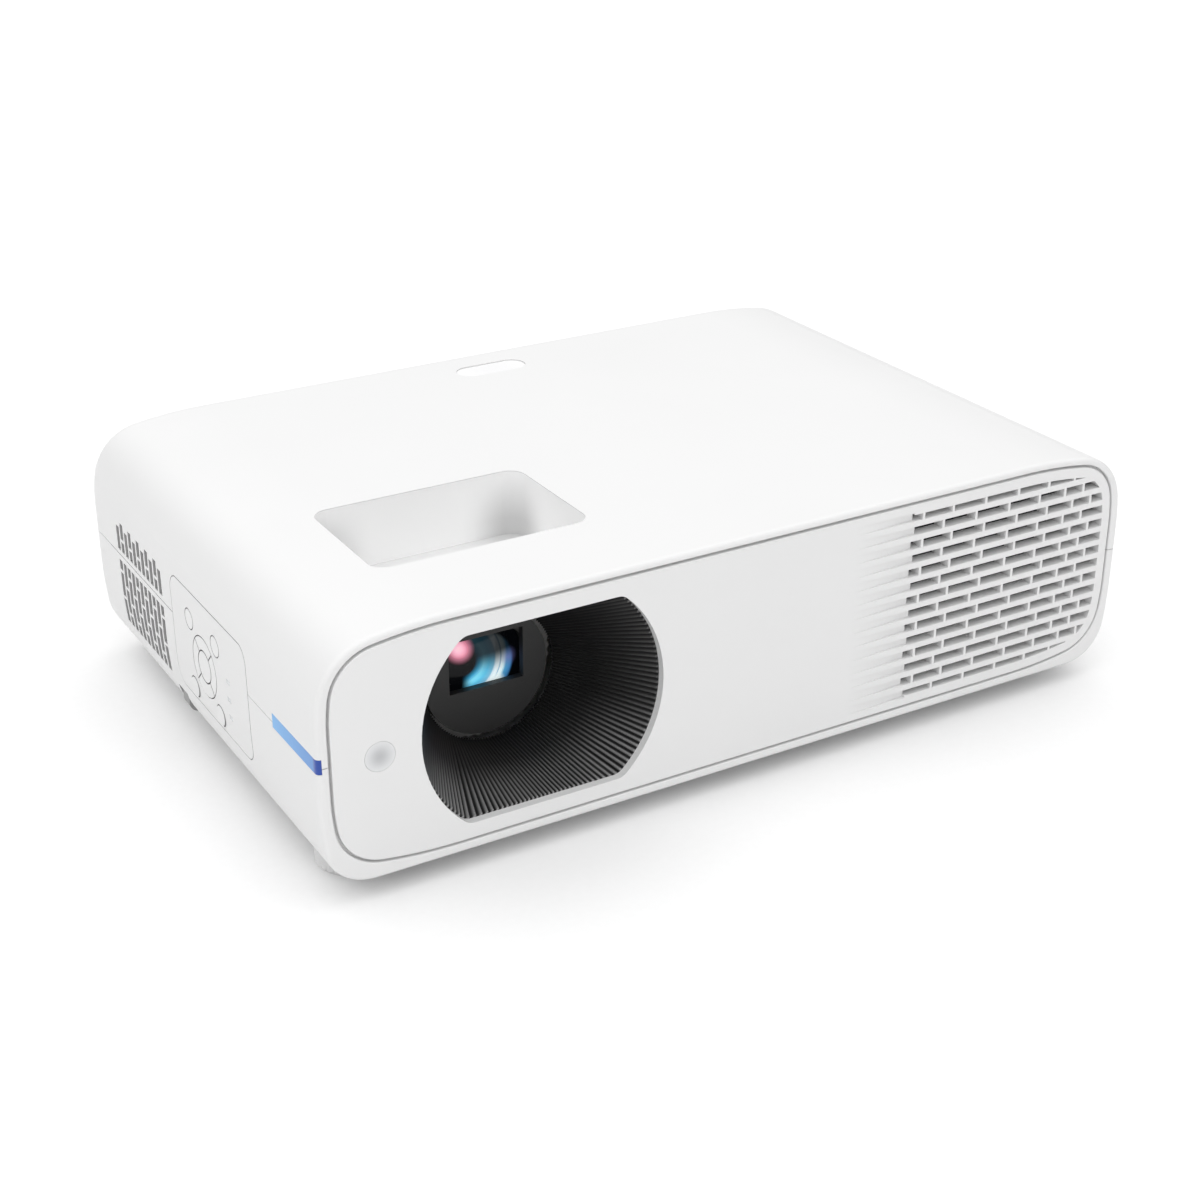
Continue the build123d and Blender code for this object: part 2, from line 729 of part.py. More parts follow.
def well_walls():
    """Walls and floor of the lens well, open over the lens rings and clear of the barrel."""
    floor_z = TOP_Z - WELL_DEPTH
    walls = well_block(WELL_WALL, floor_z) - well_block(0, floor_z + WELL_FLOOR)
    window = block(
        LENS_X - WELL_WINDOW_REACH,
        LENS_X + WELL_WINDOW_REACH,
        WELL_BACK - 2 * WELL_WALL,
        ZOOM_RING_BACK + ZOOM_RING_WIDTH + WELL_WINDOW_MARGIN,
        floor_z - WELL_WALL,
        TOP_Z - WELL_FRONT_DEPTH,
    )
    front_gap = block(
        WELL_X - 2 * WELL_WALL,
        WELL_X + WELL_LENGTH + 2 * WELL_WALL,
        WELL_BACK - 2 * WELL_WALL,
        WELL_BACK + WELL_CORNER,
        floor_z - WELL_WALL,
        TOP_Z - WELL_FRONT_DEPTH,
    )
    barrel_room = rod_y(
        LENS_X,
        LENS_Z,
        BARREL_RADIUS + WELL_BARREL_GAP,
        WELL_BACK - 2 * WELL_WALL,
        WELL_BACK + WELL_WIDTH + 2 * WELL_WALL,
    )
    return walls - window - front_gap - barrel_room


def upper_cover():
    """Top half of the shell with the lens well, the oval window's hole and screw bosses."""
    above = block(-FAR, FAR, -FAR, FAR, SEAM_Z + SEAM_GAP, 2 * TOP_Z)
    solid = SHELL & above
    solid -= well_block(0, TOP_Z - WELL_DEPTH)
    solid += well_walls() & BODY
    solid -= along_z(top_window_outline(0), SEAM_Z, 2 * TOP_Z)
    for x, back in SCREWS:
        boss = pillar(x, back, SCREW_BOSS_RADIUS, SEAM_Z, TOP_Z) & BODY
        solid += boss - pillar(x, back, SCREW_RADIUS, 0, SEAM_Z + SCREW_ENGAGEMENT)
    return solid


def case_tongue():
    """Tongue inside the shell that keys the two halves together along the sides."""
    ring = shell_outline(-WALL) - shell_outline(-WALL - TONGUE_THICKNESS)
    band = block(-FAR, FAR, -FAR, FAR, SEAM_Z - TONGUE_HEIGHT, SEAM_Z + TONGUE_HEIGHT)
    tongue = along_y(ring, CAVITY_FRONT, REAR_LEDGE_FRONT) & band
    tongue -= along_x(keypad_outline(KEYPAD_FLANGE + KEYPAD_GAP), LEFT_X, KEY_BOARD_X)
    return tongue - intake_slots()


def fan_cradles():
    """Upright ribs on the case floor that carry the two fans."""
    ribs = []
    exhaust_foot = BEZEL_MIDDLE_Z - EXHAUST_FAN_SIZE / 2
    for side in (-1, 1):
        x = EXHAUST_FAN_X + side * (EXHAUST_FAN_SIZE / 2 - FAN_CRADLE_INSET)
        end = EXHAUST_FAN_BACK + EXHAUST_FAN_DEPTH
        ribs.append(block(x, x + FAN_CRADLE, EXHAUST_FAN_BACK, end, BOTTOM_Z, exhaust_foot))
        back = INTAKE_MIDDLE + side * (INTAKE_FAN_SIZE / 2 - FAN_CRADLE_INSET)
        x = LEFT_X + INTAKE_FAN_FROM_LEFT
        foot = INTAKE_FAN_Z - INTAKE_FAN_SIZE / 2
        ribs.append(block(x, x + INTAKE_FAN_DEPTH, back, back + FAN_CRADLE, BOTTOM_Z, foot))
    return ribs


def board_posts(x0, x1, back0, back1):
    """Four posts under the corners of a circuit board."""
    inset = BOARD_POST_INSET
    return [
        pillar(x, back, BOARD_POST_RADIUS, BOTTOM_Z, BOARD_Z)
        for x in (x0 + inset, x1 - inset)
        for back in (back0 + inset, back1 - inset)
    ]


def engine_posts():
    """Four posts under the light engine."""
    half = ENGINE_WIDTH / 2 - ENGINE_POST_INSET
    return [
        pillar(LENS_X + side * half, back, ENGINE_POST_RADIUS, BOTTOM_Z, ENGINE_Z)
        for side in (-1, 1)
        for back in (ENGINE_BACK + ENGINE_POST_INSET, ENGINE_REAR - ENGINE_POST_INSET)
    ]


def sink_posts():
    """Four posts under the fin stack."""
    length = SINK_PITCH * SINK_FINS
    return [
        pillar(x, back, BOARD_POST_RADIUS, BOTTOM_Z, SINK_Z)
        for x in (SINK_X + BOARD_POST_INSET, SINK_X + SINK_WIDTH - BOARD_POST_INSET)
        for back in (SINK_BACK + BOARD_POST_INSET, SINK_BACK + length - BOARD_POST_INSET)
    ]


def foot_boss_top():
    """Height of the boss round a foot's stud."""
    stud_top = BOTTOM_Z + FOOT_STUD_LENGTH
    return stud_top + FOOT_BOSS_SPARE + FOOT_BOSS_ROOF


def lower_case():
    """Bottom half of the shell with its tongue, bosses, posts and fan cradles."""
    solid = SHELL & block(-FAR, FAR, -FAR, FAR, 0, SEAM_Z)
    solid += case_tongue() & BODY
    solid += security_pocket(SECURITY_WALL) & BODY
    added = fan_cradles() + engine_posts() + sink_posts()
    board_end = POWER_BOARD_BACK + POWER_BOARD_LENGTH
    added += board_posts(POWER_BOARD_X, POWER_BOARD_X + POWER_BOARD_WIDTH, POWER_BOARD_BACK, board_end)
    main_start = MAIN_BOARD_REAR - MAIN_BOARD_LENGTH
    added += board_posts(MAIN_BOARD_X, MAIN_BOARD_X + MAIN_BOARD_WIDTH, main_start, MAIN_BOARD_REAR)
    for x, back in FEET.values():
        added.append(pillar(x, back, FOOT_INSERT_RADIUS + FOOT_BOSS_WALL, BOTTOM_Z, foot_boss_top()))
    for x, back in MOUNTS:
        top = BOTTOM_Z + MOUNT_INSERT_LENGTH + MOUNT_BOSS_ROOF
        added.append(pillar(x, back, MOUNT_INSERT_RADIUS + MOUNT_BOSS_WALL, BOTTOM_Z, top))
    for x, back in SCREWS:
        added.append(pillar(x, back, SCREW_BOSS_RADIUS, BOTTOM_Z, SEAM_Z))
    solid += (Part() + added) & BODY
    return solid - case_holes()


def case_holes():
    """Holes in the lower case for the security slot, feet, bracket inserts and screws."""
    holes = [security_pocket(0)]
    for x, back in FEET.values():
        stud_room = FOOT_STUD_RADIUS + FOOT_STUD_FIT + FOOT_STUD_END_GAP
        holes.append(pillar(x, back, FOOT_INSERT_RADIUS, 0, BOTTOM_Z + FOOT_INSERT_LENGTH))
        holes.append(pillar(x, back, stud_room, 0, foot_boss_top() - FOOT_BOSS_ROOF))
    for x, back in MOUNTS:
        holes.append(pillar(x, back, MOUNT_INSERT_RADIUS, 0, BOTTOM_Z + MOUNT_INSERT_LENGTH))
    for x, back in SCREWS:
        holes.append(pillar(x, back, SCREW_RADIUS + SCREW_FIT, 0, SEAM_Z))
        holes.append(pillar(x, back, SCREW_HEAD_RADIUS + SCREW_FIT, 0, BOTTOM_Z + SCREW_HEAD_SINK))
    return holes


def case_screws():
    """Four screws from below that hold the two halves together."""
    screws = []
    for x, back in SCREWS:
        seat = BOTTOM_Z + SCREW_HEAD_SINK
        shank = pillar(x, back, SCREW_RADIUS, seat, SEAM_Z + SCREW_ENGAGEMENT)
        screws.append(shank + pillar(x, back, SCREW_HEAD_RADIUS, seat - SCREW_HEAD_HEIGHT, seat))
    return Compound(children=screws)


# Front: bezel, grille, funnel and windows


def grille_bars():
    """X of the upright bars of an odd row; their spacing tapers off to both ends."""
    x = GRILLE_X + GRILLE_SHORT_SLOT
    bars = [x]
    for brick in range(GRILLE_BRICKS):
        x += GRILLE_LONGEST - GRILLE_SHORTENING * (brick - GRILLE_LONGEST_PLACE) ** 2
        bars.append(x)
    return bars


def row_z(row):
    """Middle height of a grille row, counted from the top."""
    return BEZEL_MIDDLE_Z + ((GRILLE_ROWS - 1) / 2 - row) * GRILLE_PITCH


def row_start(row):
    """X where the first slot of a grille row starts."""
    return GRILLE_X + row % 2 * GRILLE_EVEN_START


def grille_slots():
    """All slots of the grille, in X and Z."""
    slots = []
    for row in range(GRILLE_ROWS):
        even = row % 2
        start = row_start(row)
        bars = [bar - even * GRILLE_EVEN_SHIFT for bar in grille_bars()][even:]
        for end in bars + [RIGHT_X]:
            length = end - GRILLE_BAR / 2 - start
            slots.append(Pos(start + length / 2, row_z(row)) * Rectangle(length, GRILLE_SLOT_HEIGHT))
            start = end + GRILLE_BAR / 2
    return (Sketch() + slots) & grille_field(GRILLE_FRAME)


def fading_grooves():
    """Shallow grooves that lead from the grille's rows and run out into the plain face."""
    grooves = []
    for row in range(GRILLE_ROWS):
        deep_x = row_start(row)
        wedge = Polygon(
            (GRILLE_X - FADE_LENGTH, behind(0)),
            (deep_x, behind(0)),
            (deep_x, behind(FADE_DEPTH)),
            align=None,
        )
        low = row_z(row) - GRILLE_SLOT_HEIGHT / 2
        grooves.append(along_z(wedge, low, low + GRILLE_SLOT_HEIGHT))
    return grooves


def front_bezel():
    """Front plate with the collared lens opening, the remote window's hole and room for the grille."""
    solid = along_y(bezel_outline(), 0, BEZEL_THICKNESS)
    solid = fillet(solid.faces().sort_by(Axis.Y)[0].edges(), BEZEL_EDGE_RADIUS)
    solid += along_y(lens_opening(OPENING_COLLAR), 0, OPENING_DEPTH)
    cuts = [along_y(lens_opening(), -WALL, OPENING_DEPTH + WALL)]
    cuts.append(rod_y(LEFT_X + IR_FROM_LEFT, OPENING_Z, IR_RADIUS, -WALL, BEZEL_THICKNESS + WALL))
    cuts.append(along_y(grille_field(0), -WALL, BEZEL_THICKNESS + WALL))
    return solid - cuts - fading_grooves()


def exhaust_grille():
    """Deep louvre insert in a brick pattern, flush with the bezel and seated on its back."""
    solid = along_y(grille_field(0), 0, GRILLE_DEPTH)
    flange_end = BEZEL_THICKNESS + LEDGE_THICKNESS / 2
    solid += along_y(grille_field(-GRILLE_FLANGE), BEZEL_THICKNESS, flange_end)
    return solid - along_y(grille_slots(), -WALL, GRILLE_DEPTH + WALL) - fading_grooves()


def opening_reach(angle):
    """Distance from the opening's middle to its edge at an angle."""
    rise = abs(sin(angle))
    if rise * OPENING_RADIUS > OPENING_HALF_HEIGHT:
        return OPENING_HALF_HEIGHT / rise
    return OPENING_RADIUS


def funnel_section(front, offset, rib_depth):
    """Section of the funnel at its front or rear end; every other point steps in by the rib depth."""
    points = []
    for index in range(2 * FUNNEL_RIBS):
        angle = radians(index * 180.0 / FUNNEL_RIBS)
        reach = opening_reach(angle) if front else FUNNEL_END_RADIUS
        reach += offset - rib_depth * (index % 2)
        points.append((reach * cos(angle), reach * sin(angle)))
    outline = make_face(Polyline(*points, close=True))
    back = OPENING_DEPTH if front else FUNNEL_BACK
    middle_z = OPENING_Z if front else LENS_Z
    plane = Plane(origin=(LENS_X, behind(back), middle_z), x_dir=(1, 0, 0), z_dir=(0, -1, 0))
    return plane * outline


def lens_funnel():
    """Black funnel from the opening to the lens, its inside pleated into fine ribs."""
    outer = loft([funnel_section(True, FUNNEL_WALL, 0), funnel_section(False, FUNNEL_WALL, 0)], ruled=True)
    ribs_front = funnel_section(True, 0, RIB_DEPTH_FRONT)
    ribs_rear = funnel_section(False, 0, RIB_DEPTH_REAR)
    hollow = loft([ribs_front, ribs_rear], ruled=True)
    flange_end = OPENING_DEPTH + FUNNEL_FLANGE_THICKNESS
    flange = along_y(lens_opening(FUNNEL_FLANGE), OPENING_DEPTH, flange_end)
    return outer + flange - hollow


def front_ir_window():
    """Round remote-control window with a flange behind the bezel."""
    x = LEFT_X + IR_FROM_LEFT
    flange_end = BEZEL_THICKNESS + IR_FLANGE_THICKNESS
    plug = rod_y(x, OPENING_Z, IR_RADIUS - IR_FIT, 0, flange_end)
    return plug + rod_y(x, OPENING_Z, IR_RADIUS + IR_FLANGE, BEZEL_THICKNESS, flange_end)


def top_ir_window():
    """Oval remote-control window let into the cover from below."""
    flange_top = TOP_Z - WALL
    flange_bottom = flange_top - TOP_WINDOW_FLANGE_THICKNESS
    plug = along_z(top_window_outline(-IR_FIT), flange_bottom, TOP_Z - TOP_WINDOW_SINK)
    return plug + along_z(top_window_outline(TOP_WINDOW_FLANGE), flange_bottom, flange_top)


def accent_strip():
    """Blue strip flush with the side and the front lip."""
    return strip_zone(-IR_FIT)


# Keypad


def key_places():
    """Middle of each round key, in Y and Z."""
    return {
        "power_button": (behind(KEY_CENTRE_BACK + KEY_SPREAD), KEY_Z + KEY_RISE),
        "source_button": (behind(KEY_CENTRE_BACK - KEY_SPREAD), KEY_Z + KEY_RISE),
        "back_button": (behind(KEY_CENTRE_BACK + KEY_SPREAD), KEY_Z - KEY_RISE),
        "menu_button": (behind(KEY_CENTRE_BACK - KEY_SPREAD), KEY_Z - KEY_RISE),
    }


def arrow_places():
    """Middle of each arrow key's stem, in Y and Z, with its turn about the key centre."""
    reach = (ARROW_INNER_RADIUS + ARROW_OUTER_RADIUS) / 2
    places = {}
    for name, turn in (("arrow_up", 90), ("arrow_rear", 0), ("arrow_down", 270), ("arrow_front", 180)):
        y = behind(KEY_CENTRE_BACK) + reach * cos(radians(turn))
        places[name] = (y, KEY_Z + reach * sin(radians(turn)), turn)
    return places


def light_zones(offset):
    """The indicator lights as solids from the outside to the key board."""
    zones = []
    for index in range(LIGHT_COUNT):
        z = KEY_Z - LIGHT_DROP + ((LIGHT_COUNT - 1) / 2 - index) * LIGHT_PITCH
        outline = Pos(behind(LIGHT_BACK), z) * Rectangle(LIGHT_LENGTH + 2 * offset, LIGHT_HEIGHT + 2 * offset)
        zones.append(along_x(outline, LEFT_X, KEY_BOARD_X) & BODY)
    return zones


def keypad_panel():
    """Curved panel flush with the side, with a flange behind the wall and posts for its board."""
    skin = along_x(keypad_outline(-KEYPAD_GAP), LEFT_X - WALL, KEY_BOARD_X)
    flange = along_x(keypad_outline(KEYPAD_FLANGE), LEFT_X - WALL, KEY_BOARD_X)
    inner = along_y(shell_outline(-WALL), 0, DEPTH)
    back_face = along_y(shell_outline(-WALL - KEYPAD_FLANGE_THICKNESS), 0, DEPTH)
    solid = (skin & BODY) - inner
    solid += (flange & inner) - back_face
    half_length = KEYPAD_LENGTH / 2 - KEYPAD_POST_INSET
    half_height = KEYPAD_HEIGHT / 2 - KEYPAD_POST_INSET
    middle = keypad_outline(0).center()
    for y in (middle.X - half_length, middle.X + half_length):
        for z in (middle.Y - half_height, middle.Y + half_height):
            solid += along_x(Pos(y, z) * Circle(KEYPAD_POST_RADIUS), LEFT_X + WALL, KEY_BOARD_X)
    for y, z in key_places().values():
        solid -= along_x(Pos(y, z) * Circle(KEY_RADIUS + KEY_FIT), LEFT_X - WALL, KEY_BOARD_X)
    ring = Pos(behind(KEY_CENTRE_BACK), KEY_Z) * Circle(ARROW_OUTER_RADIUS + KEY_FIT)
    solid -= along_x(ring, LEFT_X - WALL, KEY_BOARD_X)
    return solid - light_zones(LIGHT_FIT)


def key(outline, y, z):
    """A key cap with a stem that ends just short of its switch."""
    cap_back = LEFT_X + KEY_THICKNESS
    stem_end = KEY_BOARD_X - SWITCH_HEIGHT - KEY_TRAVEL - KEY_STOP_GAP
    stem = along_x(Pos(y, z) * Circle(KEY_STEM_RADIUS), cap_back, stem_end)
    return along_x(outline, LEFT_X, cap_back) + stem


def arrow_key(turn, y, z):
    """A quarter of the ring of arrow keys."""
    ring = Circle(ARROW_OUTER_RADIUS) - Circle(ARROW_INNER_RADIUS)
    reach = 2 * ARROW_OUTER_RADIUS
    quarter = Polygon((ARROW_GAP, 0), (reach, reach - ARROW_GAP), (reach, ARROW_GAP - reach), align=None)
    outline = Pos(behind(KEY_CENTRE_BACK), KEY_Z) * Rot(0, 0, turn) * (ring & quarter)
    return key(outline, y, z)


def keypad_board():
    """Circuit board behind the keypad with one switch under each key."""
    board = keypad_outline(-KEY_BOARD_MARGIN)
    solid = along_x(board, KEY_BOARD_X, KEY_BOARD_X + KEY_BOARD_THICKNESS)
    places = list(key_places().values())
    places += [(y, z) for y, z, turn in arrow_places().values()]
    places.append((behind(KEY_CENTRE_BACK), KEY_Z))
    for y, z in places:
        switch = Pos(y, z) * Rectangle(SWITCH_SIZE, SWITCH_SIZE)
        solid += along_x(switch, KEY_BOARD_X - SWITCH_HEIGHT, KEY_BOARD_X)
    return solid


def security_bar():
    """Bent steel bar across the security slot, from its roof round to its end wall."""
    outer = LEFT_X + SECURITY_BAR_INSET
    start = SECURITY_BACK + (SECURITY_LENGTH - SECURITY_BAR_LENGTH) / 2
    end = start + SECURITY_BAR_LENGTH
    low = BOTTOM_Z + SECURITY_RISE
    solid = block(outer, outer + SECURITY_BAR_THICKNESS, start, end, low, low + SECURITY_HEIGHT)
    solid += block(outer, LEFT_X + SECURITY_DEPTH, start, end, low, low + SECURITY_BAR_THICKNESS)
    bend = min(solid.edges().filter_by(Axis.Y), key=lambda edge: edge.center().X + edge.center().Z)
    return fillet(bend, SECURITY_BAR_BEND)


# Projection lens


def lens_tube(radius, bore, start, end):
    """A tube about the lens axis."""
    return along_y(Pos(LENS_X, LENS_Z) * (Circle(radius) - Circle(bore)), start, end)


def focus_ring_back():
    """Front plane of the focus ring, just behind the barrel's front collar."""
    return BARREL_BACK + BARREL_COLLAR_WIDTH + RING_SIDE_GAP


def lens_barrel():
    """Fixed barrel with collars that keep the rings in place and a flange on the engine."""
    solid = lens_tube(BARREL_RADIUS, BARREL_BORE, BARREL_BACK, ENGINE_BACK)
    collar = BARREL_RADIUS + BARREL_COLLAR
    solid += lens_tube(collar, BARREL_BORE, BARREL_BACK, BARREL_BACK + BARREL_COLLAR_WIDTH)
    focus_end = focus_ring_back() + FOCUS_RING_WIDTH + RING_SIDE_GAP
    solid += lens_tube(collar, BARREL_BORE, focus_end, ZOOM_RING_BACK - RING_SIDE_GAP)
    zoom_end = ZOOM_RING_BACK + ZOOM_RING_WIDTH + RING_SIDE_GAP
    solid += lens_tube(collar, BARREL_BORE, zoom_end, zoom_end + BARREL_COLLAR_WIDTH)
    flange_front = ENGINE_BACK - BARREL_FLANGE_THICKNESS
    return solid + lens_tube(BARREL_FLANGE_RADIUS, BARREL_BORE, flange_front, ENGINE_BACK)


def grip_ring(start, width):
    """A fluted ring that turns on the barrel."""
    outline = fluted(RING_RADIUS, RING_FLUTE_DEPTH, RING_FLUTES) - Circle(BARREL_RADIUS + RING_FIT)
    return along_y(Pos(LENS_X, LENS_Z) * outline, start, start + width)


def zoom_ring():
    """Zoom ring with its finger lever."""
    root = RING_RADIUS - 2 * RING_FLUTE_DEPTH
    height = RING_RADIUS + ZOOM_LEVER_HEIGHT - root
    lever = Pos(LENS_X, LENS_Z + root + height / 2) * Rectangle(ZOOM_LEVER_WIDTH, height)
    solid = grip_ring(ZOOM_RING_BACK, ZOOM_RING_WIDTH)
    return solid + along_y(lever, ZOOM_RING_BACK, ZOOM_RING_BACK + ZOOM_RING_WIDTH)


def front_lens_cell():
    """Front cell: a dark face with an off-centre window, on a tube that slides in the barrel."""
    face_end = FRONT_CELL_BACK + FRONT_CELL_FACE
    tube_end = FRONT_CELL_BACK + FRONT_CELL_LENGTH
    window = Pos(0, LENS_WINDOW_RAISE) * Rectangle(LENS_WINDOW_WIDTH, LENS_WINDOW_HEIGHT)
    face = Circle(FRONT_CELL_RADIUS) - window
    solid = along_y(Pos(LENS_X, LENS_Z) * face, FRONT_CELL_BACK, face_end)
    return solid + lens_tube(BARREL_BORE - CELL_FIT, FRONT_CELL_BORE, face_end, tube_end)


def lens_element(radius, start, edge, front_bulge, rear_bulge):
    """A glass element with spherical faces, turned about the lens axis."""
    profile = Polyline((0, -rear_bulge - edge), (0, front_bulge))
    front = ThreePointArc((0, front_bulge), bulge_point(radius, front_bulge), (radius, 0))
    rim = Line((radius, 0), (radius, -edge))
    middle = bulge_point(radius, rear_bulge)
    rear = ThreePointArc((radius, -edge), (middle[0], -edge - middle[1]), (0, -edge - rear_bulge))
    section = make_face(profile.edges() + front.edges() + rim.edges() + rear.edges())
    turned = revolve(Plane.XZ * section, axis=Axis.Z)
    return Plane(origin=(LENS_X, behind(start), LENS_Z), x_dir=(1, 0, 0), z_dir=(0, -1, 0)) * turned


def bulge_point(radius, bulge):
    """Middle point of the arc from a lens's crown to its edge."""
    sphere = (radius**2 + bulge**2) / (2 * bulge)
    half = radius / 2
    return half, bulge - sphere + (sphere**2 - half**2) ** 0.5


def front_lens_glass():
    """Large bulged front element."""
    start = FRONT_CELL_BACK + FRONT_CELL_FACE + FRONT_GLASS_BULGE
    radius = FRONT_CELL_BORE - GLASS_FIT
    return lens_element(radius, start, FRONT_GLASS_EDGE, FRONT_GLASS_BULGE, FRONT_GLASS_BULGE / 2)


def zoom_lens_cell():
    """Cell of the zoom group, sliding in the barrel."""
    end = ZOOM_CELL_BACK + ZOOM_CELL_LENGTH
    return lens_tube(BARREL_BORE - CELL_FIT, ZOOM_CELL_BORE, ZOOM_CELL_BACK, end)


def zoom_lens_glass():
    """Biconvex element of the zoom group."""
    start = ZOOM_CELL_BACK + (ZOOM_CELL_LENGTH - ZOOM_GLASS_EDGE) / 2
    radius = ZOOM_CELL_BORE - GLASS_FIT
    return lens_element(radius, start, ZOOM_GLASS_EDGE, ZOOM_GLASS_BULGE, ZOOM_GLASS_BULGE)


# Light engine


def led_places():
    """Distance behind the front and height of each light source."""
    return [
        (
            ENGINE_BACK + LED_FIRST_BACK + index * LED_PITCH,
            ENGINE_Z + LED_FIRST_RISE + index * LED_RISE_STEP,
        )
        for index in range(LED_COUNT)
    ]


def engine_box(inset):
    """The engine's box, set in by a wall."""
    return block(
        LENS_X - ENGINE_WIDTH / 2 + inset,
        ENGINE_RIGHT - inset,
        ENGINE_BACK + inset,
        ENGINE_REAR - inset,
        ENGINE_Z + inset,
        ENGINE_Z + ENGINE_HEIGHT - inset,
    )


def prism_seat():
    """Height of the prism's underside."""
    return LENS_Z - PRISM_SIDE / 2


def engine_housing():
    """Cast box with holes for the lens, the light sources and the imager, and a prism pedestal."""
    solid = engine_box(0) - engine_box(ENGINE_WALL)
    solid -= rod_y(LENS_X, LENS_Z, BARREL_BORE, ENGINE_BACK - WALL, ENGINE_BACK + 2 * ENGINE_WALL)
    for back, z in led_places():
        half = LED_WINDOW / 2
        solid -= block(ENGINE_RIGHT - 2 * ENGINE_WALL, FAR, back - half, back + half, z - half, z + half)
    window = Pos(LENS_X, LENS_Z) * Rectangle(DMD_WINDOW_WIDTH, DMD_WINDOW_HEIGHT)
    solid -= along_y(window, ENGINE_REAR - 2 * ENGINE_WALL, DEPTH)
    middle = ENGINE_BACK + ENGINE_LENGTH / 2
    half = PRISM_LENGTH / 2
    pedestal = block(LENS_X - half, LENS_X + half, middle - half, middle + half, ENGINE_Z, prism_seat())
    return solid + pedestal


def light_prism():
    """Right-angle prism that folds the light towards the imager and the lens."""
    low = prism_seat()
    half = PRISM_LENGTH / 2
    middle = behind(ENGINE_BACK + ENGINE_LENGTH / 2)
    section = Polygon(
        (middle - half, low), (middle + half, low), (middle + half, low + PRISM_SIDE), align=None
    )
    return along_x(section, LENS_X - half, LENS_X + half)


def dmd_board():
    """Imager board on the rear of the engine."""
    outline = Pos(LENS_X, LENS_Z) * Rectangle(DMD_BOARD_WIDTH, DMD_BOARD_HEIGHT)
    return along_y(outline, ENGINE_REAR, ENGINE_REAR + DMD_BOARD_THICKNESS)


def dmd_heatsink():
    """Finned heatsink on the imager board."""
    front = ENGINE_REAR + DMD_BOARD_THICKNESS
    base = Pos(LENS_X, LENS_Z) * Rectangle(DMD_SINK_WIDTH, DMD_SINK_HEIGHT)
    solid = along_y(base, front, front + DMD_SINK_BASE)
    step = (DMD_SINK_WIDTH - DMD_SINK_FIN) / (DMD_SINK_FINS - 1)
    for index in range(DMD_SINK_FINS):
        x = LENS_X - DMD_SINK_WIDTH / 2 + DMD_SINK_FIN / 2 + index * step
        fin = Pos(x, LENS_Z) * Rectangle(DMD_SINK_FIN, DMD_SINK_HEIGHT)
        solid += along_y(fin, front, front + DMD_SINK_DEPTH)
    return solid


def led_modules():
    """Light sources on the engine's right wall, each with its copper block."""
    half = LED_SIZE / 2
    modules = []
    for back, z in led_places():
        end = ENGINE_RIGHT + LED_DEPTH
        modules.append(block(ENGINE_RIGHT, end, back - half, back + half, z - half, z + half))
    return Compound(children=modules)


def pipe_x(index):
    """X of a heat pipe's run through the fins."""
    return SINK_X + PIPE_FIRST_INSET + index * PIPE_SPACING


def heat_pipes():
    """Bent heat pipes from the light sources into the fins."""
    pipes = []
    for index, (back, z) in enumerate(led_places()):
        start = (ENGINE_RIGHT + LED_DEPTH, behind(back), z)
        bend = (pipe_x(index), behind(back), z)
        end = (pipe_x(index), behind(SINK_BACK), z)
        path = FilletPolyline(start, bend, end, radius=PIPE_BEND)
        pipes.append(sweep(Plane(origin=start, z_dir=(1, 0, 0)) * Circle(PIPE_RADIUS), path=path))
    return Compound(children=pipes)


def led_heatsink():
    """Fin stack on a base plate, threaded by the heat pipes."""
    length = SINK_PITCH * SINK_FINS
    solid = block(SINK_X, SINK_X + SINK_WIDTH, SINK_BACK, SINK_BACK + length, SINK_Z, SINK_Z + SINK_BASE)
    fin = Pos(SINK_X + SINK_WIDTH / 2, SINK_Z + SINK_HEIGHT / 2) * Rectangle(SINK_WIDTH, SINK_HEIGHT)
    for index, (back, z) in enumerate(led_places()):
        fin -= Pos(pipe_x(index), z) * Circle(PIPE_RADIUS + PIPE_FIT)
    starts = [SINK_BACK + index * SINK_PITCH + (SINK_PITCH - SINK_FIN) / 2 for index in range(SINK_FINS)]
    return solid + [along_y(fin, start, start + SINK_FIN) for start in starts]


# Fans, drawn with the shaft along Z and the open face at the bottom


def fan_frame(size, depth, hub):
    """Square frame with a round duct, struts and a bearing plate at its far face."""
    bore = size / 2 - FAN_WALL_MARGIN
    frame = extrude(RectangleRounded(size, size, FAN_CORNER) - Circle(bore), amount=depth)
    plate = Circle(hub)
    for turn in (0, 90):
        plate += Rot(0, 0, turn) * Rectangle(2 * bore + FAN_WALL_MARGIN, FAN_STRUT)
    plate -= Circle(FAN_SHAFT_RADIUS + FAN_SHAFT_FIT)
    return frame + Pos(0, 0, depth - FAN_PLATE) * extrude(plate, amount=FAN_PLATE)


def fan_rotor(size, depth, hub):
    """Hub, pitched blades and shaft."""
    reach = size / 2 - FAN_WALL_MARGIN - FAN_BORE_GAP
    top = depth - FAN_PLATE - FAN_END_GAP
    height = top - FAN_END_GAP
    solid = Pos(0, 0, FAN_END_GAP) * extrude(Circle(hub), amount=height)
    span = Pos(0, 0, FAN_END_GAP) * extrude(Circle(reach) - Circle(hub / 2), amount=height)
    blade = Pos((hub / 2 + size / 2) / 2, 0, FAN_END_GAP + height / 2)
    blade *= Rot(FAN_BLADE_PITCH, 0, 0) * Box(size / 2 - hub / 2, FAN_BLADE_THICKNESS, 2 * height)
    blades = [Rot(0, 0, index * 360 / FAN_BLADES) * blade for index in range(FAN_BLADES)]
    for piece in blades:
        solid += piece & span
    return solid + Pos(0, 0, top) * extrude(Circle(FAN_SHAFT_RADIUS), amount=depth - top)


